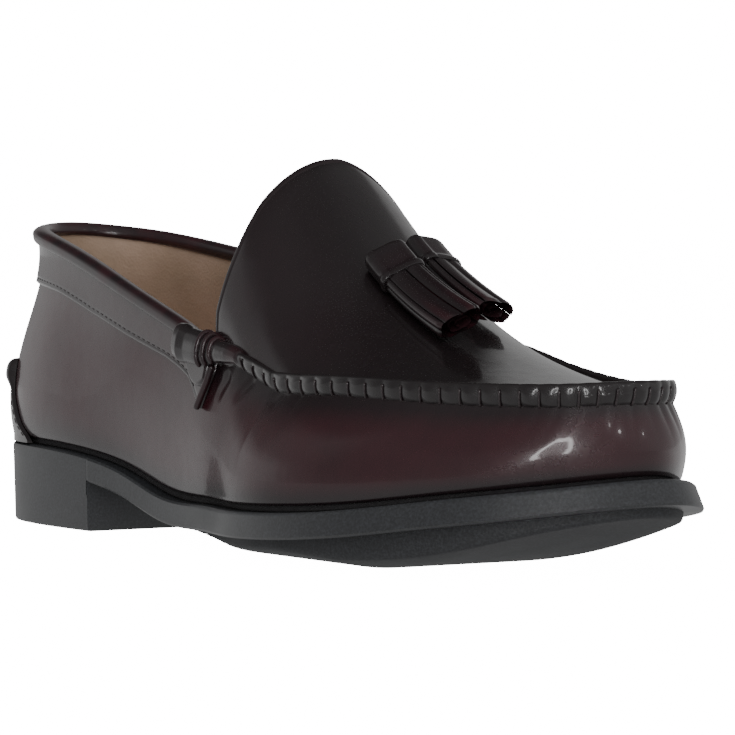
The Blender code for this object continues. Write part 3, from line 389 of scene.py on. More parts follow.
def down(i, length):
    """Share of the wall's height that lies this far below its top."""
    low, high = np.zeros(np.shape(i)), np.ones(np.shape(i))
    top = wall(i, high)
    for _ in range(18):
        v = (low + high) / 2
        far = np.linalg.norm(wall(i, v) - top, axis=-1) > length
        low, high = np.where(far, v, low), np.where(far, high, v)
    return np.where(length <= 0, 1.0, (low + high) / 2)


def at_height(i, z):
    low, high = np.zeros(np.shape(i)), np.ones(np.shape(i))
    for _ in range(18):
        v = (low + high) / 2
        below = wall(i, v)[..., 2] < z
        low, high = np.where(below, v, low), np.where(below, high, v)
    return (low + high) / 2


def skin(i, v, d):
    """A point d outside the wall."""
    return wall(i, v) + wall_normal(i, v) * np.asarray(d, float)[..., None]


def at_edge(i, d, rise):
    """A point d outside the wall and rise above its top edge, along the wall where rise is negative."""
    i, d, rise = np.broadcast_arrays(*(np.asarray(a, float) for a in (i, d, rise)))
    one = np.ones(i.shape)
    up = unit(wall(i, one) - wall(i, one * 0.98))
    v = down(i, np.maximum(-rise, 0))
    return wall(i, v) + wall_normal(i, v) * d[..., None] + up * np.maximum(rise, 0)[..., None]


def apron_plan(a, b):
    """Plan of the apron: a counts rows from the toe to the tongue's end, b is -1 lateral to 1 medial."""
    i = np.where(b < 0, -a, a)
    edge = wall(i, np.ones(i.shape))[..., :2]
    s = spine(a) * LENGTH
    middle = np.stack([apron[2](s / LENGTH) * BALL_HALF, s], -1)
    xy = edge + (middle - edge) * (1 - np.cos((1 - np.abs(b)) * math.pi / 2))[..., None]
    xy[..., 1] += steps(TONGUE, b) * MM * smooth(a - CORNER + 1)
    return xy


def on_apron(xy, d):
    """A point d above the apron, and the apron's normal there."""
    x, s, e = xy[..., 0], xy[..., 1], 0.0006
    n = unit(np.stack([-(apron_height(x + e, s) - apron_height(x - e, s)) / (2 * e),
                       -(apron_height(x, s + e) - apron_height(x, s - e)) / (2 * e), np.ones(x.shape)], -1))
    return np.stack([x, s, apron_height(x, s)], -1) + n * np.asarray(d, float)[..., None], n


# The hand-sewn seam: where its stitches sit
SEAM_ROWS = np.linspace(-CORNER, CORNER, 2401)


def seam_count():
    """Stitches passed at each row, from their spacing: 4.6 mm round the toe, 6.9 mm along the sides."""
    p = wall(SEAM_ROWS, np.ones(SEAM_ROWS.shape))
    run = np.linalg.norm(np.diff(p, axis=0), axis=1)
    mid = np.abs(SEAM_ROWS[1:] + SEAM_ROWS[:-1]) / 2
    pitch = np.interp(mid, [0, 1.5, 2.5, 3.5, 5.0, 6.0, 10.0], [4.5, 4.7, 5.5, 6.1, 6.3, 6.8, 6.9]) * MM
    count = np.concatenate([[0], np.cumsum(run / pitch)])
    return count - np.interp(0, SEAM_ROWS, count) + 200.5


SEAM_COUNT = seam_count()


def pucker(i):
    """0 at a stitch, 1 half way to the next."""
    return np.abs(np.sin(math.pi * np.interp(i, SEAM_ROWS, SEAM_COUNT))) 


def chance(n):
    """A fixed number from -1 to 1 for each whole n."""
    return 2 * np.modf(np.abs(np.sin(np.asarray(n) * 12.9898) * 43758.5453))[0] - 1


def stitch_rows(limit):
    first, last = (np.interp(x, SEAM_ROWS, SEAM_COUNT) for x in (-limit, limit))
    return np.interp(np.arange(math.ceil(first), math.floor(last) + 1), SEAM_COUNT, SEAM_ROWS)


def seam_share(i, column):
    return steps(SEAM, np.abs(wrapped(i)), column)


def seam_frame(i):
    """Top of the wall at row i with the directions along the seam, outward and up."""
    one = np.ones(np.shape(i))
    p = wall(i, one)
    along = unit(wall(i + 0.05, one) - wall(i - 0.05, one))
    lean = unit(unit(wall_normal(i, one) + on_apron(p[..., :2], 0 * one)[1]) + np.array([0, 0, 1.0]))
    lean = unit(lean - along * np.sum(lean * along, -1, keepdims=True))
    out = np.cross(lean, along)
    return p, along, out * np.sign(np.sum(out * wall_normal(i, one), -1, keepdims=True)), lean


# Folds placed one by one
# On the wall: from (row, share of height) to (row, share of height), half width mm, depth mm
WALL_FOLDS = [
    ((-8.30, 0.97), (-8.72, 0.72), 2.2, 0.35),
    ((-9.20, 0.93), (-9.75, 0.70), 3.2, 0.40),
    ((-9.70, 0.95), (-10.30, 0.66), 3.0, 0.30),
    ((-7.20, 0.97), (-7.45, 0.80), 2.4, 0.20),
    ((8.30, 0.97), (8.80, 0.70), 2.4, 0.35),
    ((9.30, 0.94), (9.90, 0.68), 3.2, 0.40),
]


def fold(p, start, finish, wide, deep):
    """A soft trough between two points, with low ridges beside it."""
    line = finish - start
    t = np.clip((p - start) @ line / (line @ line), 0, 1)
    r = np.linalg.norm(p - start - t[..., None] * line, axis=-1) / (wide * MM)
    fade = smooth(np.minimum(t * 4 + 0.2, (1 - t) * 2.5))
    return -deep * MM * (1 - 0.9 * r * r) * np.exp(-r * r) * fade


def wall_relief(i, v, p):
    """Outward relief of the wall: gathers below the seam, and the folds."""
    f, _, _, t, _ = section(i)
    drop = (1 - v) * np.linalg.norm(t - f, axis=-1)
    a = np.abs(wrapped(i))
    deep = np.interp(wrapped(i), [-9.6, -8, -5, -2, -0.5, 0.6, 1.6, 2.8, 4.5, 7, 9.6],
                     [0.0, 0.07, 0.09, 0.12, 0.14, 0.34, 0.45, 0.40, 0.16, 0.08, 0.0]) * MM
    reach = np.interp(a, [0, 4, 8], [8.5, 7.5, 5.0]) * MM
    d = deep * (pucker(np.clip(wrapped(i), -CORNER, CORNER)) - 0.62) * np.exp(-(drop / reach) ** 2)
    for start, finish, wide, deep in WALL_FOLDS:
        a3, b3 = (wall(np.array([q[0]]), np.array([q[1]]))[0] for q in (start, finish))
        near = np.linalg.norm(p - (a3 + b3) / 2, axis=-1) < 0.05
        d = np.where(near, d + fold(p, a3, b3, wide, deep), d)
    return d


# Mesh helpers
def scene(p):
    """Shoe lengths to the frame's axes."""
    p = np.asarray(p, float)
    return np.stack([p[..., 0] + ROOT[0], ROOT[1] - p[..., 1], p[..., 2]], -1)


def grid(bm, nu, nv, shape, tone=None, dull=None):
    """A flat grid whose vertices move to shape(u, v); u and v run from 0 to 1. Tone shades the leather, and
    dull takes polish away where feet crease it and hands hold it."""
    layer, worn = (bm.verts.layers.float.get(k) or bm.verts.layers.float.new(k) for k in ("tone", "dull"))
    uv = bm.loops.layers.uv.verify()
    verts = bmesh.ops.create_grid(bm, x_segments=nu, y_segments=nv, size=0.5)["verts"]
    co = np.array([v.co for v in verts])
    u, v = np.rint((co[:, 0] + 0.5) * nu) / nu, np.rint((co[:, 1] + 0.5) * nv) / nv
    place = scene(shape(u, v))
    shade = np.broadcast_to(1.0 if tone is None else tone(u, v), u.shape)
    wear = np.zeros(u.shape) if dull is None else dull(shape(u, v))
    at = {}
    for k, vert in enumerate(verts):
        vert.co = place[k]
        vert[layer], vert[worn] = shade[k], wear[k]
        at[vert] = (u[k], v[k])
    for face in {f for vert in verts for f in vert.link_faces}:
        for loop in face.loops:
            loop[uv].uv = at[loop.vert]


def tube(bm, path, radius, nv=10, flat=1.0, up=None, nu=None, swell=None):
    """A round cord along a path in the shoe, closed and rounded at its ends."""
    path = np.asarray(path, float)
    run = np.concatenate([[0], np.cumsum(np.linalg.norm(np.diff(path, axis=0), axis=1))])
    nu = nu or max(8, int(run[-1] / (radius * 0.6)))
    along = unit(np.gradient(path, axis=0))
    up = np.array([0, 0, 1.0]) if up is None else np.asarray(up, float)
    rise = unit(up - along * np.sum(up * along, -1, keepdims=True))
    side = np.cross(along, rise)

    def shape(u, v):
        at = u * run[-1]
        r = radius * np.sqrt(np.clip(1 - (1 - np.clip(np.minimum(at, run[-1] - at) / radius, 0, 1)) ** 2,
                                     0, 1))
        if swell is not None:
            r = r * swell(u)
        mid, a, b = (np.stack([np.interp(at, run, c[:, k]) for k in range(3)], -1) for c in (path, rise,
                                                                                             side))
        t = 2 * math.pi * v
        return mid + a * (r * flat * np.sin(t))[:, None] + b * (r * np.cos(t))[:, None]
    grid(bm, nu, nv, shape)


def piece(bm, name, material, slot, *nodes, sharp=50):
    """Closes the mesh, turns its faces outward and hands the piece to the frame."""
    bmesh.ops.remove_doubles(bm, verts=bm.verts, dist=3e-6)
    bmesh.ops.dissolve_degenerate(bm, edges=bm.edges, dist=1e-6)
    bmesh.ops.recalc_face_normals(bm, faces=bm.faces)
    if bm.calc_volume(signed=True) < 0:
        bmesh.ops.reverse_faces(bm, faces=bm.faces)
    for f in bm.faces:
        f.smooth = True
    for e in bm.edges:
        if len(e.link_faces) == 2 and e.calc_face_angle(0) > math.radians(sharp):
            e.smooth = False
    if not bm.faces:
        raise RuntimeError(name + " has no faces")
    mesh = bpy.data.meshes.new(name)
    bm.to_mesh(mesh)
    bm.free()
    mesh.materials.append(material())
    ob = bpy.data.objects.new(name, mesh)
    bpy.context.scene.collection.objects.link(ob)
    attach(ob, "root")
    if nodes:
        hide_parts(*nodes)
    return ob


def edge_round(distance, radius):
    """Share of a thickness that is left near a rounded edge."""
    return np.sqrt(np.clip(1 - (1 - np.clip(distance / radius, 0, 1)) ** 2, 0, 1))


def ring_shape(rows, closed=True):
    """A smooth section through a few points, as a function of its share."""
    f, period = closed_spline(rows)
    return lambda v: f(np.asarray(v) % 1 * period)


# Materials
def linear(code):
    """sRGB hex to the linear colour that shaders use."""
    rgb = [int(code[k:k + 2], 16) / 255 for k in (1, 3, 5)]
    return [c / 12.92 if c <= 0.04045 else ((c + 0.055) / 1.055) ** 2.4 for c in rgb] + [1.0]


def node(tree, kind, inputs=None, **settings):
    """Adds a node with its settings; an input is a value or a socket to link from."""
    made = tree.nodes.new(kind)
    for key, value in settings.items():
        setattr(made, key, value)
    for key, value in (inputs or {}).items():
        if isinstance(value, bpy.types.NodeSocket):
            tree.links.new(value, made.inputs[key])
        else:
            made.inputs[key].default_value = value
    return made


def ramp(tree, factor, stops):
    made = node(tree, "ShaderNodeValToRGB", {"Fac": factor})
    e = made.color_ramp.elements
    while len(e) < len(stops):
        e.new(0.5)
    for k, (at, colour) in enumerate(stops):
        e[k].position = at
        e[k].color = linear(colour) if isinstance(colour, str) else (colour,) * 3 + (1,)
    return made.outputs["Color"]


def fresh(name):
    if name in bpy.data.materials:
        return bpy.data.materials[name], None, None
    mat = bpy.data.materials.new(name)
    mat.use_nodes = True
    return mat, mat.node_tree, mat.node_tree.nodes["Principled BSDF"]


def burgundy_calf():
    """Corrected-grain calf, dyed burgundy, brushed darker towards its seams and waxed to a mirror polish. Its
    tone also carries painted shade on the tassel fringes and a painted highlight on the tab saddles.
    """
    mat, t, shader = fresh("polished_burgundy_calf")
    if t is None:
        return mat
    c = bpy.context.scene.loafer_colours
    place = node(t, "ShaderNodeTexCoord").outputs["Object"]
    # the brushed dye clouds over about 20 mm and streaks over 4 mm
    cloud = node(t, "ShaderNodeTexNoise",
                 {"Vector": place, "Scale": 48.0, "Detail": 3.0, "Roughness": 0.55})
    streak = node(t, "ShaderNodeTexNoise",
                  {"Vector": place, "Scale": 240.0, "Detail": 2.0, "Roughness": 0.6})
    tone = node(t, "ShaderNodeAttribute", attribute_name="tone").outputs["Fac"]
    dye = node(t, "ShaderNodeMath", {0: cloud.outputs["Fac"], 1: 0.50, 2: 0.62}, operation="MULTIPLY_ADD")
    fine = node(t, "ShaderNodeMath", {0: streak.outputs["Fac"], 1: 0.16, 2: dye.outputs[0]},
                operation="MULTIPLY_ADD")
    mixed = node(t, "ShaderNodeMath", {0: fine.outputs[0], 1: tone}, operation="MULTIPLY")
    colour = ramp(t, mixed.outputs[0],
                  [(0.0, c.leather_dark), (0.45, c.leather_mid), (1.0, c.leather_bright)])
    t.links.new(colour, shader.inputs["Base Color"])
    # pores of 0.25 mm are finer than a pixel, so they are drawn at 0.7 mm
    pores = node(t, "ShaderNodeTexNoise", {"Vector": place, "Scale": 1400.0, "Detail": 1.0})
    waves = node(t, "ShaderNodeTexNoise", {"Vector": place, "Scale": 95.0, "Detail": 2.0})
    rough = node(t, "ShaderNodeMapRange", {"Value": streak.outputs["Fac"], "To Min": 0.20, "To Max": 0.34})
    t.links.new(rough.outputs[0], shader.inputs["Roughness"])
    low = node(t, "ShaderNodeBump", {"Height": waves.outputs["Fac"], "Strength": 0.22, "Distance": 0.0004})
    grain = node(t, "ShaderNodeBump", {"Height": pores.outputs["Fac"], "Strength": 0.04, "Distance": 0.0001,
                                       "Normal": low.outputs["Normal"]})
    t.links.new(grain.outputs["Normal"], shader.inputs["Normal"])
    t.links.new(low.outputs["Normal"], shader.inputs["Coat Normal"])
    dull = node(t, "ShaderNodeAttribute", attribute_name="dull").outputs["Fac"]
    for key, most in (("Coat Weight", 0.75), ("Specular IOR Level", 0.50)):
        level = node(t, "ShaderNodeMapRange", {"Value": dull, "To Min": most, "To Max": 0.0})
        t.links.new(level.outputs[0], shader.inputs[key])
    shader.inputs["IOR"].default_value = 1.5
    shader.inputs["Coat Roughness"].default_value = 0.07
    shader.inputs["Coat IOR"].default_value = 1.45
    return mat


def edge_calf():
    """Thin calf binding, dyed near black and polished by handling."""
    mat, t, shader = fresh("dark_calf_edge")
    if t is None:
        return mat
    c = bpy.context.scene.loafer_colours
    place = node(t, "ShaderNodeTexCoord").outputs["Object"]
    cloud = node(t, "ShaderNodeTexNoise", {"Vector": place, "Scale": 110.0, "Detail": 3.0})
    colour = ramp(t, cloud.outputs["Fac"], [(0.35, c.leather_mid), (0.75, c.leather_bright)])
    t.links.new(colour, shader.inputs["Base Color"])
    rough = node(t, "ShaderNodeMapRange", {"Value": cloud.outputs["Fac"], "To Min": 0.26, "To Max": 0.40})
    t.links.new(rough.outputs[0], shader.inputs["Roughness"])
    bump = node(t, "ShaderNodeBump", {"Height": cloud.outputs["Fac"], "Strength": 0.3, "Distance": 0.0003})
    t.links.new(bump.outputs["Normal"], shader.inputs["Normal"])
    shader.inputs["IOR"].default_value = 1.5
    shader.inputs["Coat Weight"].default_value = 0.4
    shader.inputs["Coat Roughness"].default_value = 0.12
    return mat


def lining_leather():
    """Undyed pigskin lining: matt, warm tan, with a fine pebble and slight foot wear."""
    mat, t, shader = fresh("tan_pigskin_lining")
    if t is None:
        return mat
    c = bpy.context.scene.loafer_colours
    place = node(t, "ShaderNodeTexCoord").outputs["Object"]
    cloud = node(t, "ShaderNodeTexNoise", {"Vector": place, "Scale": 40.0, "Detail": 4.0, "Roughness": 0.6})
    colour = ramp(t, cloud.outputs["Fac"], [(0.30, c.lining_shade), (0.72, c.lining)])
    t.links.new(colour, shader.inputs["Base Color"])
    # pebble of 0.5 mm, drawn at 0.8 mm
    grain = node(t, "ShaderNodeTexVoronoi", {"Vector": place, "Scale": 1200.0})
    bump = node(t, "ShaderNodeBump",
                {"Height": grain.outputs["Distance"], "Strength": 0.35, "Distance": 0.0002})
    t.links.new(bump.outputs["Normal"], shader.inputs["Normal"])
    shader.inputs["Roughness"].default_value = 0.62
    shader.inputs["IOR"].default_value = 1.45
    return mat


def rubber(name, gloss, rough, rougher):
    mat, t, shader = fresh(name)
    if t is None:
        return mat
    c = bpy.context.scene.loafer_colours
    place = node(t, "ShaderNodeTexCoord").outputs["Object"]
    # grit of 0.3 mm, drawn at 0.7 mm
    grit = node(t, "ShaderNodeTexNoise",
                {"Vector": place, "Scale": 1500.0, "Detail": 2.0, "Roughness": 0.7})
    cloud = node(t, "ShaderNodeTexNoise", {"Vector": place, "Scale": 60.0, "Detail": 3.0})
    colour = ramp(t, grit.outputs["Fac"], [(0.40, c.rubber), (0.78, c.rubber_dust)])
    t.links.new(colour, shader.inputs["Base Color"])
    dull = node(t, "ShaderNodeMapRange",
                {"Value": cloud.outputs["Fac"], "To Min": rough, "To Max": rougher})
    t.links.new(dull.outputs[0], shader.inputs["Roughness"])
    bump = node(t, "ShaderNodeBump", {"Height": grit.outputs["Fac"], "Strength": 0.15, "Distance": 0.0002})
    t.links.new(bump.outputs["Normal"], shader.inputs["Normal"])
    shader.inputs["IOR"].default_value = 1.52
    shader.inputs["Specular IOR Level"].default_value = gloss
    return mat


def moulded_rubber():
    """Black nitrile rubber from a blasted mould, with a soft sheen on the sole's edge."""
    return rubber("moulded_black_rubber", 0.70, 0.30, 0.42)


def walked_rubber():
    """The same rubber below, left rough for grip."""
    return rubber("rough_black_rubber", 0.50, 0.60, 0.80)


def blacked_welt():
    """Narrow rubber welt in the recess under the upper, blacked and matt."""
    mat, t, shader = fresh("blacked_welt")
    if t is None:
        return mat
    place = node(t, "ShaderNodeTexCoord").outputs["Object"]
    # brush marks about 3 mm long
    cloud = node(t, "ShaderNodeTexNoise", {"Vector": place, "Scale": 320.0, "Detail": 2.0})
    colour = ramp(t, cloud.outputs["Fac"], [(0.3, "#3c3b3c"), (0.8, "#464446")])
    t.links.new(colour, shader.inputs["Base Color"])
    shader.inputs["Roughness"].default_value = 0.85
    shader.inputs["Specular IOR Level"].default_value = 0.15
    return mat


def waxed_thread():
    """Hand-sewing linen thread, dyed and waxed: a soft gloss that catches light on every turn."""
    mat, t, shader = fresh("waxed_linen_thread")
    if t is None:
        return mat
    c = bpy.context.scene.loafer_colours
    place = node(t, "ShaderNodeTexCoord").outputs["Object"]
    # strands twist every 0.6 mm
    twist = node(t, "ShaderNodeTexNoise", {"Vector": place, "Scale": 1700.0, "Detail": 1.0})
    colour = ramp(t, twist.outputs["Fac"], [(0.35, c.thread), (0.70, c.leather_mid)])
    t.links.new(colour, shader.inputs["Base Color"])
    bump = node(t, "ShaderNodeBump", {"Height": twist.outputs["Fac"], "Strength": 0.4, "Distance": 0.0002})
    t.links.new(bump.outputs["Normal"], shader.inputs["Normal"])
    shader.inputs["Roughness"].default_value = 0.30
    shader.inputs["Coat Weight"].default_value = 0.5
    shader.inputs["Coat Roughness"].default_value = 0.15
    return mat


# User's sizes and colours
def colour_property(name, words, code):
    return bpy.props.StringProperty(name=name, description=words, default=code)


class LoaferColours(bpy.types.PropertyGroup):
    leather_dark: colour_property("Dark leather", "Leather at its seams, sRGB hex", "#1d191a")
    leather_mid: colour_property("Burgundy leather", "Leather between, sRGB hex", "#22171a")
    leather_bright: colour_property("Bright leather", "Leather at the middle of its panels, sRGB hex",
                                    "#38191f")
    lining: colour_property("Lining", "Lining leather, sRGB hex", "#b89f8c")
    lining_shade: colour_property("Lining shade", "Worn lining leather, sRGB hex", "#9f8873")
    rubber: colour_property("Rubber", "Sole rubber, sRGB hex", "#2a2b2d")
    rubber_dust: colour_property("Rubber dust", "Speckle of the sole rubber, sRGB hex", "#404246")
    thread: colour_property("Thread", "Seam thread, sRGB hex", "#33292b")


class LoaferSizes(bpy.types.PropertyGroup):
    ridge: bpy.props.FloatProperty(
        name="Seam height", description="Height of the raised seam over the wall's top", default=0.0046,
        min=0.001, max=0.008, unit="LENGTH")
    pucker: bpy.props.FloatProperty(
        name="Pucker", description="How far each stitch pulls the raised seam in", default=0.00060,
        min=0.0, max=0.002, unit="LENGTH")
    strips: bpy.props.IntProperty(
        name="Tassel strips", description="Strips around each tassel", default=8, min=5, max=14)
    groove: bpy.props.FloatProperty(
        name="Tread depth", description="Depth of the tread's grooves", default=0.0012,
        min=0.0, max=0.003, unit="LENGTH")
    highlight: bpy.props.FloatProperty(
        name="Key light", description="Strength of the lamp mirrored in the toe", default=1.0,
        min=0.0, max=5.0, subtype="FACTOR")


class LoaferOperator:
    bl_options = {"REGISTER", "UNDO"}


# Sole
def station(part, q, key):
    """Shares of one side so that both sides pass the heel's breast at the same q."""
    p, _, run = part
    back = float(np.interp(-BREAST, -p[:, 1], run))
    return np.interp(q, [0, key, 1], [0, back, 1])


KEY = 0.72


def across(q, t, d):
    """Plan point between the sides at q, t from -1 lateral to 1 medial, drawn in by d from the outline."""
    a, na = on_side(EDGE[0], station(EDGE[0], q, KEY))
    b, nb = on_side(EDGE[1], station(EDGE[1], q, KEY))
    a, b = a - na * np.asarray(d)[..., None], b - nb * np.asarray(d)[..., None]
    return a + (b - a) * ((t + 1) / 2)[..., None]


def slab(bm, q0, q1, nu, top, bottom, profile, nx=18, cap0=False, cap1=False, tone=None):
    """A slab of the sole between two surfaces; profile gives its side upwards as (inset, share)."""
    profile = np.array(profile, float)
    n = len(profile)
    t = np.linspace(-1, 1, nx + 1)[1:-1]
    # one loop: up the lateral side, over the top, down the medial side, back below
    side_t = np.concatenate([-np.ones(n), t, np.ones(n), t[::-1]])
    d = np.concatenate([profile[:, 0], t * 0 + profile[-1, 0], profile[::-1, 0], t * 0 + profile[0, 0]])
    share = np.concatenate([profile[:, 1], t * 0 + 1, profile[::-1, 1], t * 0])
    m = len(side_t)
    extra = (1 if cap0 else 0) + (1 if cap1 else 0)
    cells = nu + extra

    def shape(u, v):
        row = np.rint(u * cells).astype(int)
        flat = ((row == 0) & cap0) | ((row == cells) & cap1)
        k = np.clip(row - (1 if cap0 else 0), 0, nu) / nu
        q = q0 + (q1 - q0) * (k if cap0 or cap1 else k)
        at = np.rint(v * m).astype(int) % m
        xy = across(q, side_t[at], d[at])
        lo, hi = bottom(xy[..., 0], xy[..., 1]), top(xy[..., 0], xy[..., 1])
        w = np.where(flat, 0.5, share[at])
        return np.stack([xy[..., 0], xy[..., 1], lo + (hi - lo) * w], -1)
    grid(bm, cells, m, shape)


class LOAFER_OT_sole(LoaferOperator, bpy.types.Operator):
    """Unit sole: flange, shank and tread, heel block and the rand"""
    bl_idname = "loafer.sole"
    bl_label = "Sole"

    def execute(self, context):
        groove = context.scene.loafer_sizes.groove
        flare = table(INSETS, 1)
        # flange: its side leans in towards the toe, its edges are moulded round
        bm = bmesh.new()
        profile = []
        for k in range(13):
            a = k / 12
            low = 0.0005 * (1 - edge_round(a * FLANGE, 0.0007))
            high = 0.0005 * (1 - edge_round((1 - a) * FLANGE, 0.0006))
            profile.append((low + high, a))
        self.flange(bm, profile, flare)
        piece(bm, "flange", moulded_rubber, "sole", "outsole", sharp=40)
        # shank and forepart
        bm = bmesh.new()
        self.forepart(bm, groove)
        piece(bm, "tread", walked_rubber, "sole", sharp=40)
        # heel block
        bm = bmesh.new()
        self.heel(bm, groove)
        piece(bm, "heel_block", moulded_rubber, "sole", sharp=40)
        # rand
        bm = bmesh.new()
        self.rand(bm)
        piece(bm, "rand_strip", blacked_welt, "rand", "rand", sharp=60)
        return {"FINISHED"}

    def flange(self, bm, profile, flare):
        profile = np.array(profile)
        n, nx = len(profile), 20
        t = np.linspace(-1, 1, nx + 1)[1:-1]
        side_t = np.concatenate([-np.ones(n), t, np.ones(n), t[::-1]])
        d0 = np.concatenate([profile[:, 0], t * 0 + profile[-1, 0], profile[::-1, 0],
                             t * 0 + profile[0, 0]])
        share = np.concatenate([profile[:, 1], t * 0 + 1, profile[::-1, 1], t * 0])
        m, nu = len(side_t), 360

        def shape(u, v):
            at = np.rint(v * m).astype(int) % m
            probe, _ = on_side(EDGE[0], station(EDGE[0], u, KEY))
            lean = 0.85 * LENGTH * flare(np.clip(probe[:, 1] / LENGTH, 0, 1)) * share[at]
            inside = 0.0009 * smooth((u - KEY - 0.001) / 0.003)
            xy = across(u, side_t[at], d0[at] + np.maximum(lean, 0) + inside)
            z = sole_top(xy[..., 1]) - inside * 0.5
            return np.stack([xy[..., 0], xy[..., 1], z - FLANGE * (1 - share[at])], -1)
        grid(bm, nu, m, shape)

    def forepart(self, bm, groove):
        profile = [(TREAD_INSET + 0.0016, 0.0), (TREAD_INSET + 0.0009, 0.02), (TREAD_INSET + 0.0005, 0.10)]
        profile += [(TREAD_INSET + 0.0003 * (1 - a), a) for a in np.linspace(0.2, 1, 8)]

        def bottom(x, s):
            base = underside(x, s)
            # grooves across the ball and round the edge
            inner = smooth((0.040 - np.abs(x - 0.002)) / 0.004) * smooth((s - 0.120) / 0.01) \
                * smooth((0.236 - s) / 0.01)
            wave = np.abs((s / 0.0065 + 0.25 * np.sin(x / 0.011)) % 1 - 0.5) * 2
            return base + groove * inner * smooth((wave - 0.62) / 0.16)
        slab(bm, 0.0, KEY, 330, lambda x, s: sole_top(s) - FLANGE + 0.0002, bottom, profile, nx=40,
             cap1=True)

    def heel(self, bm, groove):
        profile = [(HEEL_TAPER + 0.0008, 0.0), (HEEL_TAPER + 0.0002, 0.012), (HEEL_TAPER, 0.04)]
        profile += [(HEEL_TAPER * (1 - a), a) for a in np.linspace(0.12, 0.95, 9)]
        profile += [(0.0002, 0.98), (0.0009, 1.0)]

        def bottom(x, s):
            inner = smooth((0.026 - np.abs(x)) / 0.003) * smooth((s - 0.010) / 0.004) \
                * smooth((0.066 - s) / 0.003)
            wave = np.abs((s / 0.0065) % 1 - 0.5) * 2
            return groove * 0.8 * inner * smooth((wave - 0.62) / 0.16)
        slab(bm, KEY, 1.0, 90, lambda x, s: sole_top(s), bottom, profile, nx=30, cap0=True)

    def rand(self, bm):
        rows = ring_shape([(0.0, 0.15), (0.25, 1.0), (0.0, 1.95), (-0.9, 2.4), (-2.2, 2.3), (-2.6, 1.0),
                           (-1.2, 0.0)])

        def shape(u, v):
            i = -ROWS + 2 * ROWS * u
            foot, _, _, _, out = section(i)
            r = rows(v) * MM
            p = foot - out * (RAND_INSET + 0.0009) + out * r[:, 0][:, None]
            z = sole_top(foot[..., 1]) + np.maximum(r[:, 1], 0.0) + np.minimum(lip(foot[..., 1]) - LIP,
                                                                               0) * (r[:, 1] > 1)
            return np.stack([p[..., 0], p[..., 1], z], -1)
        grid(bm, 480, 20, shape)


# Upper
def panel_tone(i, v):
    """Brushed dye: burgundy in the middle of the wall, near black at its seams."""
    a = np.abs(wrapped(i))
    top = smooth((1 - v) / np.interp(a, [0, 9, 11, 18], [0.34, 0.42, 0.30, 0.30]))
    low = smooth(v / 0.16)
    return (0.30 + 0.70 * top) * (0.45 + 0.55 * low)


def wall_wear(p):
    """Less polish at the waist and the ball, where the vamp creases, and in the middle of the quarters."""
    s, z = p[:, 1], p[:, 2]
    return 0.70 * np.exp(-((s - 0.160) / 0.021) ** 2) + 0.45 * np.exp(-((s - 0.205) / 0.026) ** 2) \
        + 0.38 * np.exp(-((s - 0.100) / 0.030) ** 2 - ((z - 0.052) / 0.012) ** 2)


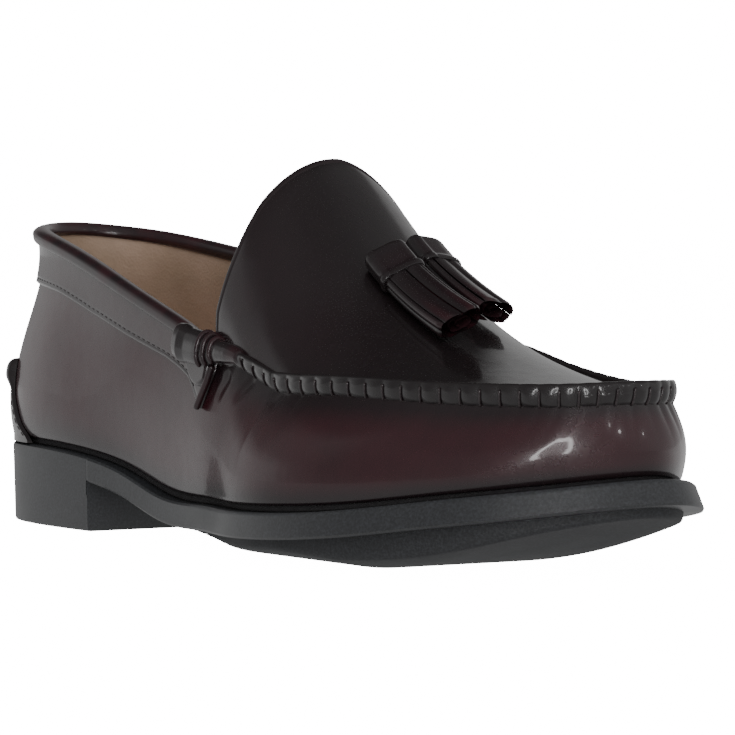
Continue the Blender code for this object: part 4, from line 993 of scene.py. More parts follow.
class LOAFER_OT_upper(LoaferOperator, bpy.types.Operator):
    """Vamp and quarters, apron with its tongue, their lining and the sock"""
    bl_idname = "loafer.upper"
    bl_label = "Upper"

    def execute(self, context):
        bm = bmesh.new()
        self.quarters(bm)
        piece(bm, "vamp_and_quarters", burgundy_calf, "upper", "upper", sharp=70)
        bm = bmesh.new()
        self.apron(bm)
        piece(bm, "apron_and_tongue", burgundy_calf, "upper", sharp=60)
        bm = bmesh.new()
        self.tongue_edge(bm)
        piece(bm, "tongue_edge", burgundy_calf, "upper", sharp=80)
        bm = bmesh.new()
        self.lining(bm)
        piece(bm, "lining", lining_leather, "insole", sharp=60)
        bm = bmesh.new()
        self.sock(bm)
        piece(bm, "sock", lining_leather, "insole", "insole", sharp=50)
        return {"FINISHED"}

    def quarters(self, bm):
        n_out, n_in = 46, 6
        v_out = 1 - (1 - np.linspace(0, 1, n_out + 1)) ** 1.35
        rows = [(0.0, -0.0030, -0.0012), (0.0, -0.0016, -0.0010), (0.0, -0.0004, -0.0006)]
        v = np.concatenate([[r[0] for r in rows], v_out, np.linspace(1, 0.02, n_in + 1)])
        d = np.concatenate([[r[1] for r in rows], np.where(np.arange(n_out + 1) == 0, -0.0001, 0.0),
                            np.full(n_in + 1, -0.0009)])
        drop = np.concatenate([[r[2] for r in rows], np.zeros(n_out + 1 + n_in + 1)])
        outer = np.concatenate([np.zeros(3), np.ones(n_out + 1), np.zeros(n_in + 1)])
        m = len(v)

        def at(t):
            return np.rint(t * m).astype(int) % m

        def shape(u, t):
            i, k = -ROWS + 2 * ROWS * u, at(t)
            p = wall(i, v[k])
            relief = outer[k] * wall_relief(i, v[k], p)
            p = p + wall_normal(i, v[k]) * (d[k] + relief)[:, None]
            p[:, 2] += drop[k]
            return p
        grid(bm, 900, m, shape, lambda u, t: panel_tone(-ROWS + 2 * ROWS * u, v[at(t)]), wall_wear)

    def apron(self, bm):
        def tone(u, v):
            a, b = 10 * u, np.abs(2 * v - 1)
            return 0.06 + 0.40 * smooth((a - 4.5) / 3.5) * smooth(b / 0.6) * smooth((1 - b) / 0.1)
        for d in (0.0, -0.0009):
            def shape(u, v, d=d):
                a, b = CORNER * u, 2 * v - 1
                rim = edge_round((1 - u) * 0.030, 0.0006)
                low = np.maximum(edge_round((1 - np.abs(b)) * 0.020, 0.0006), 0.0)
                e = -0.00045 + (d + 0.00045) * np.minimum(rim, low)
                return on_apron(apron_plan(a, b), e)[0]
            grid(bm, 220, 120, shape, tone)

    def tongue_edge(self, bm):
        """Turned edge around the free end of the tongue."""
        rows = ring_shape([(0.0, 0.18), (0.9, -0.02), (1.45, -0.65), (1.5, -1.30), (0.9, -1.85),
                           (0.0, -2.05),
                           (-0.9, -1.9), (-1.6, -1.3), (-1.6, -0.5), (-0.9, 0.03)])

        def shape(u, v):
            b = 2 * u - 1
            ends = edge_round(np.minimum(u, 1 - u) * 0.11, 0.0012)
            xy = apron_plan(np.full(u.shape, float(CORNER)), b)
            p, n = on_apron(xy, np.zeros(u.shape))
            ahead = apron_plan(np.full(u.shape, CORNER - 0.05), b)
            back = unit(p - on_apron(ahead, np.zeros(u.shape))[0])
            back = unit(back - n * np.sum(back * n, -1, keepdims=True))
            r = rows(v) * MM
            return p + back * ((r[:, 0] - 0.6 * MM) * ends)[:,
                    None] + n * ((r[:, 1] + 0.9 * MM) * ends - 0.9 * MM)[:, None]
        grid(bm, 200, 22, shape, lambda u, v: 0.45 + 0 * u)

    def lining(self, bm):
        n_in, m_out = 26, 3
        v = np.concatenate([np.linspace(0.02, 0.995, m_out + 1), np.linspace(0.995, 0.02, n_in + 1)])
        d = np.concatenate([np.full(m_out + 1, -0.00095), np.full(n_in + 1, -WALL)])
        m = len(v)

        def shape(u, t):
            i, k = -ROWS + 2 * ROWS * u, np.rint(t * m).astype(int) % m
            return skin(i, v[k], d[k])
        grid(bm, 360, m, shape)
        for d0 in (-0.00095, -WALL):
            def shape(u, w, d0=d0):
                a, b = CORNER * u, 2 * w - 1
                return on_apron(apron_plan(a, b), np.full(u.shape, d0) + 0.0)[0]
            grid(bm, 60, 50, shape)
        bmesh.ops.remove_doubles(bm, verts=bm.verts, dist=3e-6)
        # the two skins of the tongue's lining are closed along their shared border
        edges = [e for e in bm.edges if e.is_boundary]
        if edges:
            bmesh.ops.bridge_loops(bm, edges=edges)

    def sock(self, bm):
        for top in (0, 1):
            def shape(u, v, top=top):
                q = u
                a, na = on_side(FEATHER[0], q)
                b, nb = on_side(FEATHER[1], q)
                off = WALL + 2 * GAP + 0.0004
                a, b = a - na * off, b - nb * off
                t = 2 * v - 1
                xy = a + (b - a) * ((t + 1) / 2)[:, None]
                z = sole_top(xy[:, 1]) + np.minimum(lip(xy[:, 1]), LIP)
                width = np.linalg.norm(b - a, axis=-1)
                near = np.minimum((1 - np.abs(t)) * width / 2, np.minimum(u, 1 - u) * LENGTH)
                if top:
                    z = z + INSOLE_THICK * edge_round(near, 0.0012) - 0.0006 * smooth(near / 0.02)
                return np.stack([xy[:, 0], xy[:, 1], z], -1)
            grid(bm, 160, 40, shape)


# Raised seam
class LOAFER_OT_seam(LoaferOperator, bpy.types.Operator):
    """Raised seam that gathers the wall to the apron, with its stitches"""
    bl_idname = "loafer.seam"
    bl_label = "Raised seam"

    def execute(self, context):
        sizes = context.scene.loafer_sizes
        tall = sizes.ridge / (4.62 * MM)
        rows = ring_shape(RIDGE)
        bm = bmesh.new()

        def shape(u, v):
            i = (2 * u - 1) * 9.97
            p, along, out, lean = seam_frame(i)
            r = rows(v)
            h, w = seam_share(i, 1) * tall, seam_share(i, 2)
            full = pucker(i)
            lobe = np.floor(np.interp(i, SEAM_ROWS, SEAM_COUNT))
            outer = np.clip(r[:, 2], 0, 1)
            o = r[:,
                  0] * MM * w - sizes.pucker * (1 - full) * outer + 0.20 * MM * chance(lobe) * full * outer
            z = r[:, 1] * MM * np.where(r[:, 1] > 0, h, 1) - 0.12 * MM * (1 - full) * (r[:, 1] > 3.4)
            z = z + full * outer * MM * np.where(r[:, 1] < 2, 0.40 * chance(lobe + 57),
                                                 0.12 * chance(lobe + 91))
            ends = edge_round((1 - np.abs(2 * u - 1)) * 0.12, 0.0015)
            return p + out * (o * ends)[:, None] + lean * (z * ends)[:, None]
        grid(bm, 900, 34, shape, lambda u,
             v: 0.08 + 0.6 * np.exp(-((np.abs(2 * u - 1) * 9.97 - 9.4) / 0.16) ** 2)
             * np.exp(-((v - 0.2) / 0.1) ** 2))
        piece(bm, "raised_seam", burgundy_calf, "upper", sharp=75)
        bm = bmesh.new()
        for i in stitch_rows(8.9):
            self.stitch(bm, i, tall)
        piece(bm, "seam_stitches", waxed_thread, "lace", sharp=90)
        return {"FINISHED"}

    def stitch(self, bm, i, tall):
        """One turn of thread, out of the wall's crease and into the foot of the seam."""
        i = np.array([i])
        p, along, out, lean = (a[0] for a in seam_frame(i))
        w = float(seam_share(i, 2)[0])
        path = []
        for k in np.linspace(0, 1, 11):
            a = math.pi * k
            path.append(p + out * (0.85 - 0.45 * k * k + 0.30 * math.sin(a)) * w * MM
                        + lean * (-1.5 + 4.9 * k * tall) * MM + along * 0.5 * (k - 0.5) * MM)
        tube(bm, path, 0.00036, nv=7, up=along, nu=12)


# Collar
def round_the_heel(u, first):
    """Rows from the medial front end round the heel to the lateral one."""
    return first + (2 * ROWS - 2 * first) * u


class LOAFER_OT_collar(LoaferOperator, bpy.types.Operator):
    """Band around the collar with its stitching and tabs, and the binding over the edge"""
    bl_idname = "loafer.collar"
    bl_label = "Collar"

    def execute(self, context):
        first = CORNER + 0.02
        bm = bmesh.new()
        for outer in (1, 0):
            def shape(u, v, outer=outer):
                j = round_the_heel(u, first)
                a = np.abs(wrapped(j))
                depth = BAND_DEPTH * steps(BAND, a)
                edge = v * (depth - 0.0004)
                length = depth - edge
                end = (a - first) * 0.014
                t = BAND_THICK * edge_round(edge, 0.0009) * edge_round(end, 0.0009)
                groove = 0.00022 * np.exp(-((edge - 0.0017) / 0.0004) ** 2)
                return skin(j, down(j, length), GAP * 0.5 + outer * np.maximum(t - groove, 0.0))
            grid(bm, 420, 26, shape, lambda u, v: 0.30 + 0.45 * smooth(v / 0.3) * smooth((1 - v) / 0.3))
        piece(bm, "collar_strip", burgundy_calf, "collar_band", "collar_band", sharp=60)
        bm = bmesh.new()
        self.stitching(bm, first)
        piece(bm, "collar_stitches", waxed_thread, "lace", sharp=90)
        bm = bmesh.new()
        for sign in (-1, 1):
            path = [at_edge(sign * i, BAND_THICK + 0.0004, -depth * MM) for i, depth in
                    zip(np.interp(np.linspace(0, 1, 25), [0, 0.35, 1], [10.02, 10.12, 10.40]),
                        np.linspace(1.0, 15.4, 25))]
            tube(bm, path, 0.0010, nv=12)
        piece(bm, "tab_piping", edge_calf, "binding", sharp=80)
        bm = bmesh.new()
        outer, inner = BAND_THICK + GAP * 2, -WALL - GAP
        rows = ring_shape([
            (outer, -BIND_DROP), (outer + BIND * 0.75, -BIND_DROP * 0.8), (outer + BIND, 0.0),
            (outer + BIND * 0.6, BIND * 1.4), ((outer + inner) / 2, BIND * 2.35),
            (inner - BIND * 0.6, BIND * 1.4),
            (inner - BIND, 0.0), (inner - BIND * 0.75, -BIND_DROP * 0.8), (inner, -BIND_DROP),
            (inner + 0.0002, -0.0004), ((outer + inner) / 2, GAP * 1.2), (outer - 0.0002, -0.0004)])

        def shape(u, v):
            j = round_the_heel(u, CORNER + 1.10)
            r = rows(v)
            p = at_edge(j, r[:, 0], r[:, 1])
            mid = at_edge(j, np.full(u.shape, (outer + inner) / 2), np.full(u.shape, 0.0006))
            ends = edge_round(np.minimum(u, 1 - u) * 0.30, 0.0015)
            return mid + (p - mid) * ends[:, None]
        grid(bm, 420, 26, shape)
        piece(bm, "topline_binding", edge_calf, "binding", "collar_binding", sharp=80)
        return {"FINISHED"}

    def stitching(self, bm, first):
        """Machine stitches 3.2 mm apart, 1.7 mm above the band's lower edge."""
        j = np.linspace(first + 0.45, 2 * ROWS - first - 0.45, 1500)
        depth = BAND_DEPTH * steps(BAND, np.abs(wrapped(j)))
        p = skin(j, down(j, depth - 0.0017), np.full(j.shape, GAP * 0.5 + BAND_THICK - 0.00018))
        run = np.concatenate([[0], np.cumsum(np.linalg.norm(np.diff(p, axis=0), axis=1))])
        for start in np.arange(0.001, run[-1] - 0.004, 0.0032):
            at = np.linspace(start, start + 0.0024, 4)
            path = np.stack([np.interp(at, run, p[:, k]) for k in range(3)], -1)
            tube(bm, path, 0.00022, nv=5, nu=4)


class LOAFER_OT_heel(LoaferOperator, bpy.types.Operator):
    """Patch around the heel with its rolled top edge"""
    bl_idname = "loafer.heel"
    bl_label = "Heel patch"

    def execute(self, context):
        height = np.array([p[0] for p in PATCH]) * COLLAR_HEIGHT
        edge = np.array([p[1] for p in PATCH])
        roll = spline([p[0] for p in HEEL_EDGE], [p[1] for p in HEEL_EDGE])
        foot_z = HEEL_HEIGHT + 0.0004
        bm = bmesh.new()
        for outer in (1, 0):
            def shape(u, v, outer=outer):
                t = 1 - 2 * u
                z = foot_z + (PATCH_TOP - foot_z) * v
                j = ROWS + (ROWS - np.interp(z, height, edge)) * -t
                w = np.maximum(at_height(j, z), 0.001)
                side = (1 - np.abs(t)) * (ROWS - np.interp(z, height, edge)) * 0.018
                fall = (PATCH_TOP - z) / HEEL_ROLL_DEPTH
                thick = PATCH_THICK * edge_round(side, 0.0009)
                bead = HEEL_ROLL * np.clip(roll(np.clip(fall, 0, 1)), 0, 1) * edge_round(side, 0.003)
                bead = bead * (1 - 0.35 * np.abs(t) ** 6)
                rim = edge_round(PATCH_TOP - z, 0.0010)
                p = skin(j, w, GAP * 0.5 + outer * (thick + bead) * rim)
                p[:, 2] = np.minimum(p[:, 2], np.where(w < 0.002, z, 1.0))
                return p
            grid(bm, 110, 60, shape, lambda u, v: 0.10 + 0.05 * v)
        piece(bm, "heel_counter", burgundy_calf, "heel_patch", "heel_patch", sharp=60)
        bm = bmesh.new()
        z = np.linspace(foot_z + 0.002, PATCH_TOP - HEEL_ROLL_DEPTH - 0.001, 60)
        for sign in (-1, 1):
            j = ROWS + sign * (ROWS - np.interp(z, height, edge) - 0.10)
            p = skin(j, at_height(j, z), np.full(z.shape, GAP * 0.5 + PATCH_THICK))
            run = np.concatenate([[0], np.cumsum(np.linalg.norm(np.diff(p, axis=0), axis=1))])
            for start in np.arange(0.0, run[-1] - 0.003, 0.0032):
                at = np.linspace(start, start + 0.0024, 4)
                tube(bm, np.stack([np.interp(at, run, p[:, k]) for k in range(3)], -1), 0.00022, nv=5, nu=4)
        piece(bm, "heel_stitches", waxed_thread, "lace", sharp=90)
        return {"FINISHED"}


# Rolls at the collar's front ends
# From the front end, on the seam, to the rear end, on the band: row, middle outward, middle above the wall's
# edge, half thickness, half height (mm)
ROLL = [
    (8.72, 0.6, 0.4, 0.3, 0.3), (8.90, 0.9, 1.3, 2.0, 2.0), (9.25, 1.2, 2.0, 2.6, 2.7),
    (9.60, 1.6, 2.6, 2.7, 3.0),
    (9.88, 2.0, 3.0, 2.3, 3.4), (10.10, 2.6, 2.6, 2.7, 4.5), (10.45, 3.0, 1.1, 2.9, 4.9),
    (10.80, 3.3, -0.7, 2.9, 5.0),
    (11.02, 3.6, -1.6, 3.4, 5.5), (11.22, 3.6, -2.2, 3.2, 5.1), (11.38, 3.2, -2.6, 0.4, 0.6),
]
WRAPS = (9.84, 10.04, 10.25)


def roll_section(sign, i, angle, more=0.0):
    out, rise, wide, tall = (np.interp(i, [r[0] for r in ROLL],
                                       [r[k] for r in ROLL]) * MM for k in range(1, 5))
    middle = at_edge(sign * i, out, rise)
    one = np.ones(i.shape)
    n, up = wall_normal(sign * i, one), unit(wall(sign * i, one) - wall(sign * i, one * 0.97))
    ca, sa = np.cos(angle), np.sin(angle)
    return middle + n * ((wide + more) * np.sign(ca) * np.abs(ca) ** 0.9)[:, None] \
        + up * ((tall + more) * np.sign(sa) * np.abs(sa) ** 0.9)[:, None]


class LOAFER_OT_rolls(LoaferOperator, bpy.types.Operator):
    """Leather rolls with three wraps at the front ends of the collar, and the tab below each"""
    bl_idname = "loafer.rolls"
    bl_label = "Rolls"

    def execute(self, context):
        for sign, side in ((-1, "lateral"), (1, "medial")):
            bm = bmesh.new()

            def shape(u, v, sign=sign):
                # rows crowd towards both ends, where the roll is turned in
                i = ROLL[0][0] + (ROLL[-1][0] - ROLL[0][0]) * (0.5 - 0.5 * np.cos(math.pi * u))
                return roll_section(sign, i, 2 * math.pi * v)
            grid(bm, 130, 40, shape, lambda u, v: 0.15 + 0.7 * np.exp(-((u - 0.90) / 0.10) ** 2)
                 + 0.5 * np.exp(-((u - 0.22) / 0.10) ** 2))
            piece(bm, "roll_" + side, burgundy_calf, "beef_roll", "beef_roll_" + side, sharp=75)
            bm = bmesh.new()
            angle = np.linspace(-0.45 * math.pi, 0.85 * math.pi, 50)
            for row in WRAPS:
                path = roll_section(sign, np.full(50, row), angle, 0.0001)
                tube(bm, path, 0.0008, nv=10, nu=60)
            piece(bm, "roll_wraps_" + side, edge_calf, "beef_roll", sharp=90)
            bm = bmesh.new()
            for outer in (1, 0):
                def flap(u, v, sign=sign, outer=outer):
                    i = CORNER + 0.10 + 1.0 * u
                    low = (3.2 + 6.2 * np.sin(math.pi * np.clip(0.12 + 0.80 * (1 - u), 0, 1)) ** 0.8) * MM
                    near = np.minimum(v * low, np.minimum(u, 1 - u) * 0.014)
                    d = GAP + BAND_THICK + outer * 0.0014 * edge_round(near, 0.0012)
                    return at_edge(sign * i, d, -low * (1 - v) - 0.0004)
                # tone lighter towards the flap's top: a painted highlight along its upper edge
                grid(bm, 40, 24, flap, lambda u, v: 0.45 + 0.2 * v)
            piece(bm, "tab_saddle_" + side, burgundy_calf, "collar_band", sharp=60)
        return {"FINISHED"}


# Tassels
def tassel_ends(name):
    out, along, heading, share = TASSELS[name][:4]
    start = np.array([out * BALL_HALF, along * LENGTH])
    turn = math.radians(heading)
    return start, start + TASSEL_LENGTH * share * np.array([math.sin(turn), math.cos(turn)])


def tassel_frame(name, q):
    """Middle of a tassel at share q with the directions across and out of the apron."""
    first, last = tassel_ends(name)
    q = np.asarray(q, float)
    xy = first + (last - first) * q[..., None]
    wide, thick, lean = TASSELS[name][4:6] + (math.radians(TASSELS[name][6]),)
    x, z = tassel_section(np.linspace(0, 2 * math.pi, 73), wide * 1.06, thick * 1.06)
    p, n = on_apron(xy, float(np.max(-x * math.sin(lean) - z * math.cos(lean))) + TASSEL_LIFT + 0.0006 * q)
    ahead = unit(np.append(last - first, 0.0) - n * (n @ np.append(last - first, 0.0))[..., None])
    side = np.cross(ahead, n)
    return p, ahead, side * math.cos(lean) + n * math.sin(lean), n * math.cos(lean) - side * math.sin(lean)


def tassel_section(angle, wide, thick):
    ca, sa = np.cos(angle), np.sin(angle)
    return (np.sign(ca) * np.abs(ca) ** 0.62 * TASSEL_HALF * wide,
            np.sign(sa) * np.abs(sa) ** 0.72 * TASSEL_THICK * thick)


class LOAFER_OT_tassels(LoaferOperator, bpy.types.Operator):
    """Two tassels of rolled fringe under a cap, and the lace that joins them"""
    bl_idname = "loafer.tassels"
    bl_label = "Tassels"

    def execute(self, context):
        strips = context.scene.loafer_sizes.strips
        for name in TASSELS:
            bm = bmesh.new()
            self.cap(bm, name)
            piece(bm, "cap_of_" + name, burgundy_calf, "tassel", name, sharp=70)
            bm = bmesh.new()
            self.fringe(bm, name, strips)
            piece(bm, "fringe_of_" + name, burgundy_calf, "tassel", sharp=70)
            bm = bmesh.new()
            self.core(bm, name)
            piece(bm, "core_of_" + name, edge_calf, "tassel", sharp=70)
        bm = bmesh.new()
        start = tassel_ends("tassel_lateral")[0] + np.array([0.003, -0.0008])
        finish = tassel_ends("tassel_medial")[0] + np.array([-0.001, -0.0012])
        q = np.linspace(0, 1, 30)[:, None]
        xy = start + (finish - start) * q + np.array([0, -0.0012]) * np.sin(math.pi * q)
        path, n = on_apron(xy, np.full(30, 0.0010))
        tube(bm, path, 0.0016, nv=14, flat=0.45, up=n[15])
        piece(bm, "tassel_thong", edge_calf, "lace", "tassel_lace", sharp=80)
        return {"FINISHED"}

    def round_at(self, name, angle, reach):
        return tassel_section(angle, TASSELS[name][4] * reach, TASSELS[name][5] * reach)

    def cap(self, bm, name):
        """A band of leather wound once around the head, with raised rims."""
        profile = [(0.00, 0.05), (0.00, 0.55), (0.004, 0.86), (0.02, 0.975), (0.05, 1.0), (0.09, 1.0),
                   (0.15, 1.01), (0.215, 1.015), (0.240, 1.08), (0.268, 1.08), (0.283, 1.0), (0.283, 0.80),
                   (0.26, 0.60), (0.10, 0.55), (0.02, 0.05)]
        f = spline(np.arange(len(profile)), profile)

        def shape(u, v):
            q, r = np.moveaxis(f(u * (len(profile) - 1)), -1, 0)
            p, ahead, side, n = tassel_frame(name, np.clip(q, 0, 1))
            angle = 2 * math.pi * v
            x, z = self.round_at(name, angle, r)
            lap = 0.00035 * smooth((v - 0.30) / 0.01) * smooth((0.72 - v) / 0.01) * (r > 0.9)
            return p + side * x[:, None] + n * (z + lap * np.sign(z))[:, None]
        grid(bm, 56, 72, shape, lambda u,
             v: 0.15 + 0.35 * np.abs(np.sin(2 * math.pi * v)) * np.exp(-((u - 0.45) / 0.12) ** 2))

    def fringe(self, bm, name, strips):
        """Strips side by side around the roll, cut straight at the end."""
        rng = np.random.default_rng(11 if name.endswith("lateral") else 5)
        thick = 0.00095
        for k in range(strips):
            mid = 2 * math.pi * (k + rng.uniform(-0.03, 0.03)) / strips + 0.35
            half = math.pi / strips * 1.01
            long, lift, bend = rng.uniform(0.975, 1.0), rng.uniform(-0.03, 0.03), rng.uniform(-0.03, 0.03)
            for outer in (1, 0):
                def shape(u, v, outer=outer, mid=mid, half=half, long=long, lift=lift, bend=bend):
                    q = 0.22 + (long - 0.22) * u
                    p, ahead, side, n = tassel_frame(name, q)
                    flare = np.interp(q, [0.22, 0.31, 0.5, 0.75, 1.0],
                                      [0.93, 0.95, 0.98, 1.02, 1.06 + lift])
                    side_near = edge_round((1 - np.abs(2 * v - 1)) * half, 0.16)
                    t = thick * side_near * edge_round((long - q) * TASSEL_LENGTH, 0.0007)
                    crown = 0.00012 * (1 - (2 * v - 1) ** 2)
                    x, z = self.round_at(name, mid + bend * u + (2 * v - 1) * half, flare)
                    base = np.stack([x, z], -1)
                    inward = thick * 0.5 - (t * 0.5 + crown) * (1 if outer else -1)
                    base = base - unit(base + 1e-9) * inward[:, None]
                    return p + side * base[:, :1] + n * base[:, 1:]
                # tone: painted shade, darker at each strip's edges in the grooves between strips, and darker
                # towards the cap
                grid(bm, 26, 10, shape, lambda u, v: 0.15 + 0.65 * smooth(u) * (1 - (2 * v - 1) ** 2))

    def core(self, bm, name):
        """One strip rolled up inside the others."""
        for outer in (1, 0):
            def core(u, v, outer=outer):
                q = 0.40 + 0.59 * v
                p, ahead, side, n = tassel_frame(name, q)
                reach = (0.70 - 0.50 * u) * np.interp(q, [0.4, 1.0], [0.92, 1.04])
                x, z = self.round_at(name, 1.2 + 9.5 * u, reach)
                base = np.stack([x, z], -1)
                t = 0.0008 * edge_round(np.minimum(u, 1 - u), 0.02) * edge_round((1 - v) * 0.021, 0.0004)
                base = base - unit(base + 1e-9) * (t * (0 if outer else 1))[:, None]
                return p + side * base[:, :1] + n * base[:, 1:]
            grid(bm, 90, 12, core, lambda u, v: 0.5 + 0 * u)


# Stage
# The room: heading, brightness low, its edge (elevation / 90 degrees), brightness above, its edge, ceiling
ROOM = [
    (-180, 0.38, 0.30, 0.38, 0.44, 0.30), (-150, 0.36, 0.30, 0.36, 0.44, 0.28),
    (-125, 0.30, 0.30, 0.30, 0.40, 0.24),
    (-100, 0.22, 0.20, 0.22, 0.40, 0.20), (-85, 0.25, 0.12, 0.22, 0.50, 0.18),
    (-70, 0.40, 0.12, 0.36, 0.38, 0.13),
    (-60, 0.72, 0.14, 0.34, 0.36, 0.11), (-50, 0.62, 0.15, 0.30, 0.34, 0.09),
    (-42, 0.58, 0.15, 0.16, 0.30, 0.07),
    (-30, 0.44, 0.15, 0.08, 0.25, 0.06), (-15, 0.28, 0.18, 0.10, 0.22, 0.03),
    (0, 0.36, 0.25, 0.36, 0.32, 0.025),
    (12, 0.40, 0.25, 0.40, 0.34, 0.03), (30, 0.44, 0.25, 0.44, 0.38, 0.12),
    (45, 0.44, 0.25, 0.44, 0.36, 0.20),
    (60, 0.40, 0.25, 0.40, 0.33, 0.20), (80, 0.44, 0.25, 0.44, 0.34, 0.20),
    (110, 0.53, 0.25, 0.53, 0.36, 0.26),
    (150, 0.40, 0.30, 0.40, 0.44, 0.30), (180, 0.38, 0.30, 0.38, 0.44, 0.30),
]


def glow(name, colour, strength):
    mat = bpy.data.materials.new(name)
    mat.use_nodes = True
    shader = mat.node_tree.nodes["Principled BSDF"]
    shader.inputs["Base Color"].default_value = linear(colour)
    shader.inputs["Roughness"].default_value = 0.9
    shader.inputs["Emission Color"].default_value = (1, 1, 1, 1)
    shader.inputs["Emission Strength"].default_value = strength
    return mat


def seen_by(ob, camera=False, diffuse=False, glossy=False, shadow=False):
    ob.visible_camera, ob.visible_diffuse, ob.visible_glossy = camera, diffuse, glossy
    ob.visible_transmission, ob.visible_shadow, ob.visible_volume_scatter = False, shadow, False


class LOAFER_OT_stage(LoaferOperator, bpy.types.Operator):
    """Pale floor and backdrop, soft light and the camera at the photograph's angle"""
    bl_idname = "loafer.stage"
    bl_label = "Stage"

    def execute(self, context):
        self.paper()
        self.room()
        self.lamps(context.scene.loafer_sizes.highlight)
        self.camera()
        return {"FINISHED"}

    def put(self, bm, name, material):
        mesh = bpy.data.meshes.new(name)
        bm.to_mesh(mesh)
        bm.free()
        mesh.materials.append(material)
        ob = bpy.data.objects.new(name, mesh)
        bpy.context.scene.collection.objects.link(ob)
        return ob

    def paper(self):
        bm = bmesh.new()
        bmesh.ops.create_grid(bm, x_segments=4, y_segments=4, size=12.0)
        bmesh.ops.translate(bm, verts=bm.verts, vec=(0, 0, -0.0002))
        seen_by(self.put(bm, "floor", glow("pale_paper", "#f4f4f4", 16.0)), camera=True)
        bm = bmesh.new()
        bmesh.ops.create_uvsphere(bm, u_segments=48, v_segments=24, radius=14.0)
        bmesh.ops.reverse_faces(bm, faces=bm.faces)
        seen_by(self.put(bm, "backdrop", glow("white_backdrop", "#ffffff", 16.0)), camera=True)
        bm = bmesh.new()
        bmesh.ops.create_grid(bm, x_segments=4, y_segments=4, size=12.0)
        bmesh.ops.translate(bm, verts=bm.verts, vec=(0, 0, -0.0010))
        seen_by(self.put(bm, "table_mirrored", self.table_paint()), diffuse=True, glossy=True)

    def table_paint(self):
        """Paper that is bright behind the shoe and falls into shade towards the camera."""
        mat = glow("table_mirrored", "#202020", 0.5)
        t = mat.node_tree
        place = node(t, "ShaderNodeTexCoord").outputs["Object"]
        near = node(t, "ShaderNodeVectorMath", {0: place, 1: (-0.475, -0.880, 0.0)},
                    operation="DOT_PRODUCT")
        shade = node(t, "ShaderNodeMapRange",
                     {"Value": near.outputs["Value"], "From Min": -0.25, "From Max": 0.45,
                                               "To Min": 0.55, "To Max": 0.34},
                                               interpolation_type="SMOOTHSTEP")
        t.links.new(shade.outputs[0], t.nodes["Principled BSDF"].inputs["Emission Strength"])
        return mat

    def room(self):
        """Light from all round, by heading (0 away from the camera, 90 to its right) and elevation."""
        world = bpy.context.scene.world or bpy.data.worlds.new("room")
        bpy.context.scene.world = world
        world.use_nodes = True
        t = world.node_tree
        way = node(t, "ShaderNodeTexCoord").outputs["Generated"]
        ahead, right = (node(t, "ShaderNodeVectorMath", {0: way, 1: d},
                             operation="DOT_PRODUCT").outputs["Value"]
                        for d in ((0.475, 0.880, 0.0), (0.880, -0.475, 0.0)))
        turn = node(t, "ShaderNodeMath", {0: right, 1: ahead}, operation="ARCTAN2")
        turn = node(t, "ShaderNodeMapRange",
                    {"Value": turn.outputs[0], "From Min": -math.pi, "From Max": math.pi})
        up = node(t, "ShaderNodeMath", {0: node(t, "ShaderNodeSeparateXYZ", {"Vector": way}).outputs["Z"]},
                  operation="ARCSINE")
        up = node(t, "ShaderNodeMath", {0: up.outputs[0], 1: 2 / math.pi}, operation="MULTIPLY")
        stops = lambda column: [(row[0] / 360 + 0.5, row[column]) for row in ROOM]
        low, first, middle, second, high = (ramp(t, turn.outputs[0], stops(k)) for k in range(1, 6))
        wall = low
        for edge, over in ((first, middle), (second, high)):
            rise = node(t, "ShaderNodeMath", {0: up.outputs[0], 1: edge}, operation="SUBTRACT")
            rise = node(t, "ShaderNodeMapRange",
                        {"Value": rise.outputs[0], "From Min": -0.035, "From Max": 0.035})
            wall = node(t, "ShaderNodeMix", {0: rise.outputs[0], 6: wall, 7: over},
                        data_type="RGBA").outputs[2]
        top = node(t, "ShaderNodeMapRange", {"Value": up.outputs[0], "From Min": 0.70, "From Max": 0.90})
        both = node(t, "ShaderNodeMix", {0: top.outputs[0], 6: wall, 7: (0.14, 0.14, 0.14, 1)},
                    data_type="RGBA")
        back = t.nodes["Background"]
        t.links.new(both.outputs[2], back.inputs["Color"])
        back.inputs["Strength"].default_value = 1.0

    def mirrored(self, name, heading, rise, far, wide, tall, inner, strength):
        """A ring that shows only in the polish, seen from the toe at a heading and elevation."""
        a, e = math.radians(heading), math.radians(rise)
        toe = Vector((ROOT[0] - 0.0155, ROOT[1] - 0.285, 0.034))
        ahead, right = Vector((0.475, 0.880, 0)), Vector((0.880, -0.475, 0))
        way = (ahead * math.cos(a) + right * math.sin(a)) * math.cos(e) + Vector((0, 0, math.sin(e)))
        side = way.cross(Vector((0, 0, 1))).normalized()
        up = side.cross(way)
        bm = bmesh.new()
        for vert in bmesh.ops.create_grid(bm, x_segments=48, y_segments=2, size=0.5)["verts"]:
            angle, r = 2 * math.pi * (vert.co.x + 0.5), inner + (1 - inner) * (vert.co.y + 0.5)
            vert.co = toe + way * far + side * (wide * r * math.cos(angle)) \
                + up * (tall * r * math.sin(angle))
        seen_by(self.put(bm, name, glow(name, "#000000", strength)), glossy=True)

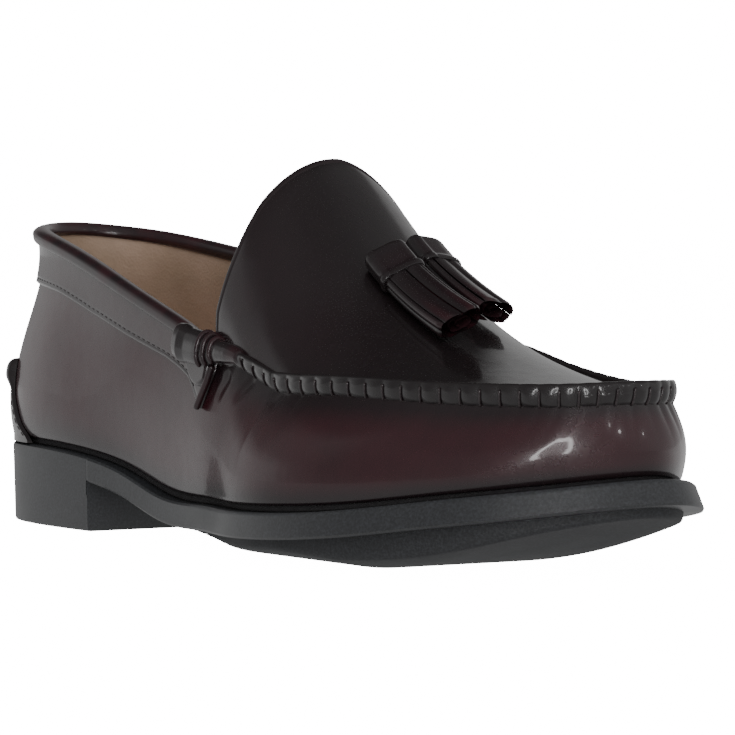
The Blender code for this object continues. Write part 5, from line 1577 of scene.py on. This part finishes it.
    def lamps(self, key):
        self.mirrored("ring_flash", -166, 6, 0.9, 0.185, 0.225, 0.74, 15.0 * key)
        self.mirrored("ring_centre", -166, 6, 0.92, 0.15, 0.18, 0.0, 1.2 * key)
        self.mirrored("small_lamp", 150, 22, 1.2, 0.030, 0.030, 0.0, 20.0 * key)
        self.mirrored("ceiling_lamp", 122, 20, 1.2, 0.022, 0.022, 0.0, 20.0 * key)
        for name, place, aim, size, power, glossy in (
                ("soft_key", (-0.9, -0.9, 1.5), (0, 0, 0.03), 1.4, 12.0, False),
                ("soft_fill", (1.2, -0.2, 1.2), (0, 0, 0.03), 1.4, 5.0, False),
                ("soft_front", (-0.6, -1.2, 0.35), (0, -0.1, 0.02), 0.8, 4.0, False),
                ("lining_light", (0.15, 0.6, 1.4), (0, 0.08, 0.06), 0.8, 8.0, False)):
            lamp = bpy.data.lights.new(name, "AREA")
            lamp.size, lamp.energy = size, power
            ob = bpy.data.objects.new(name, lamp)
            bpy.context.scene.collection.objects.link(ob)
            ob.location = place
            ob.rotation_euler = (Vector(aim) - Vector(place)).to_track_quat("-Z", "Y").to_euler()
            ob.visible_glossy, ob.visible_camera = glossy, False

    def camera(self):
        """Fitted to the photograph: 28.4 degrees off the shoe's side, 1.29 m away, a long lens."""
        cam = bpy.data.objects.new("camera", bpy.data.cameras.new("camera"))
        bpy.context.scene.collection.objects.link(cam)
        turn, far = math.radians(28.351), 1.29398
        cam.location = (ROOT[0] - far * math.sin(turn), ROOT[1] - far * math.cos(turn), 0.09206)
        cam.rotation_euler = Euler((math.radians(90 - 2.1005), 0, -math.radians(28.351 + 4.0759)))
        cam.data.sensor_width, cam.data.lens = 36.0, 4181.16 * 36 / 735
        cam.data.clip_start, cam.data.clip_end = 0.01, 100
        bpy.context.scene.camera = cam


class LOAFER_PT_parts(bpy.types.Panel):
    bl_label = "Loafer"
    bl_idname = "LOAFER_PT_parts"
    bl_space_type = "VIEW_3D"
    bl_region_type = "UI"
    bl_category = "Loafer"

    def draw(self, context):
        for group in (context.scene.loafer_sizes, context.scene.loafer_colours):
            for key in type(group).__annotations__:
                self.layout.prop(group, key)
        for op in OPERATORS:
            self.layout.operator(op.bl_idname)


OPERATORS = (LOAFER_OT_sole, LOAFER_OT_upper, LOAFER_OT_seam, LOAFER_OT_collar, LOAFER_OT_heel,
             LOAFER_OT_rolls,
             LOAFER_OT_tassels, LOAFER_OT_stage)
CLASSES = (LoaferColours, LoaferSizes) + OPERATORS + (LOAFER_PT_parts,)


def register():
    for cls in CLASSES:
        bpy.utils.register_class(cls)
    bpy.types.Scene.loafer_colours = bpy.props.PointerProperty(type=LoaferColours)
    bpy.types.Scene.loafer_sizes = bpy.props.PointerProperty(type=LoaferSizes)


def unregister():
    del bpy.types.Scene.loafer_sizes, bpy.types.Scene.loafer_colours
    for cls in reversed(CLASSES):
        bpy.utils.unregister_class(cls)


def main():
    low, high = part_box("outsole")
    if abs(high.y - (ROOT[1] - CURVE[:, 1].min())) > 0.001 or abs(high.x - (ROOT[0] + CURVE[:,
            0].max())) > 0.001:
        raise RuntimeError("the sole isn't where the tables put it")
    register()
    bpy.ops.loafer.sole()
    bpy.ops.loafer.upper()
    bpy.ops.loafer.seam()
    bpy.ops.loafer.collar()
    bpy.ops.loafer.heel()
    bpy.ops.loafer.rolls()
    bpy.ops.loafer.tassels()
    bpy.ops.loafer.stage()


if __name__ == "__main__":
    main()
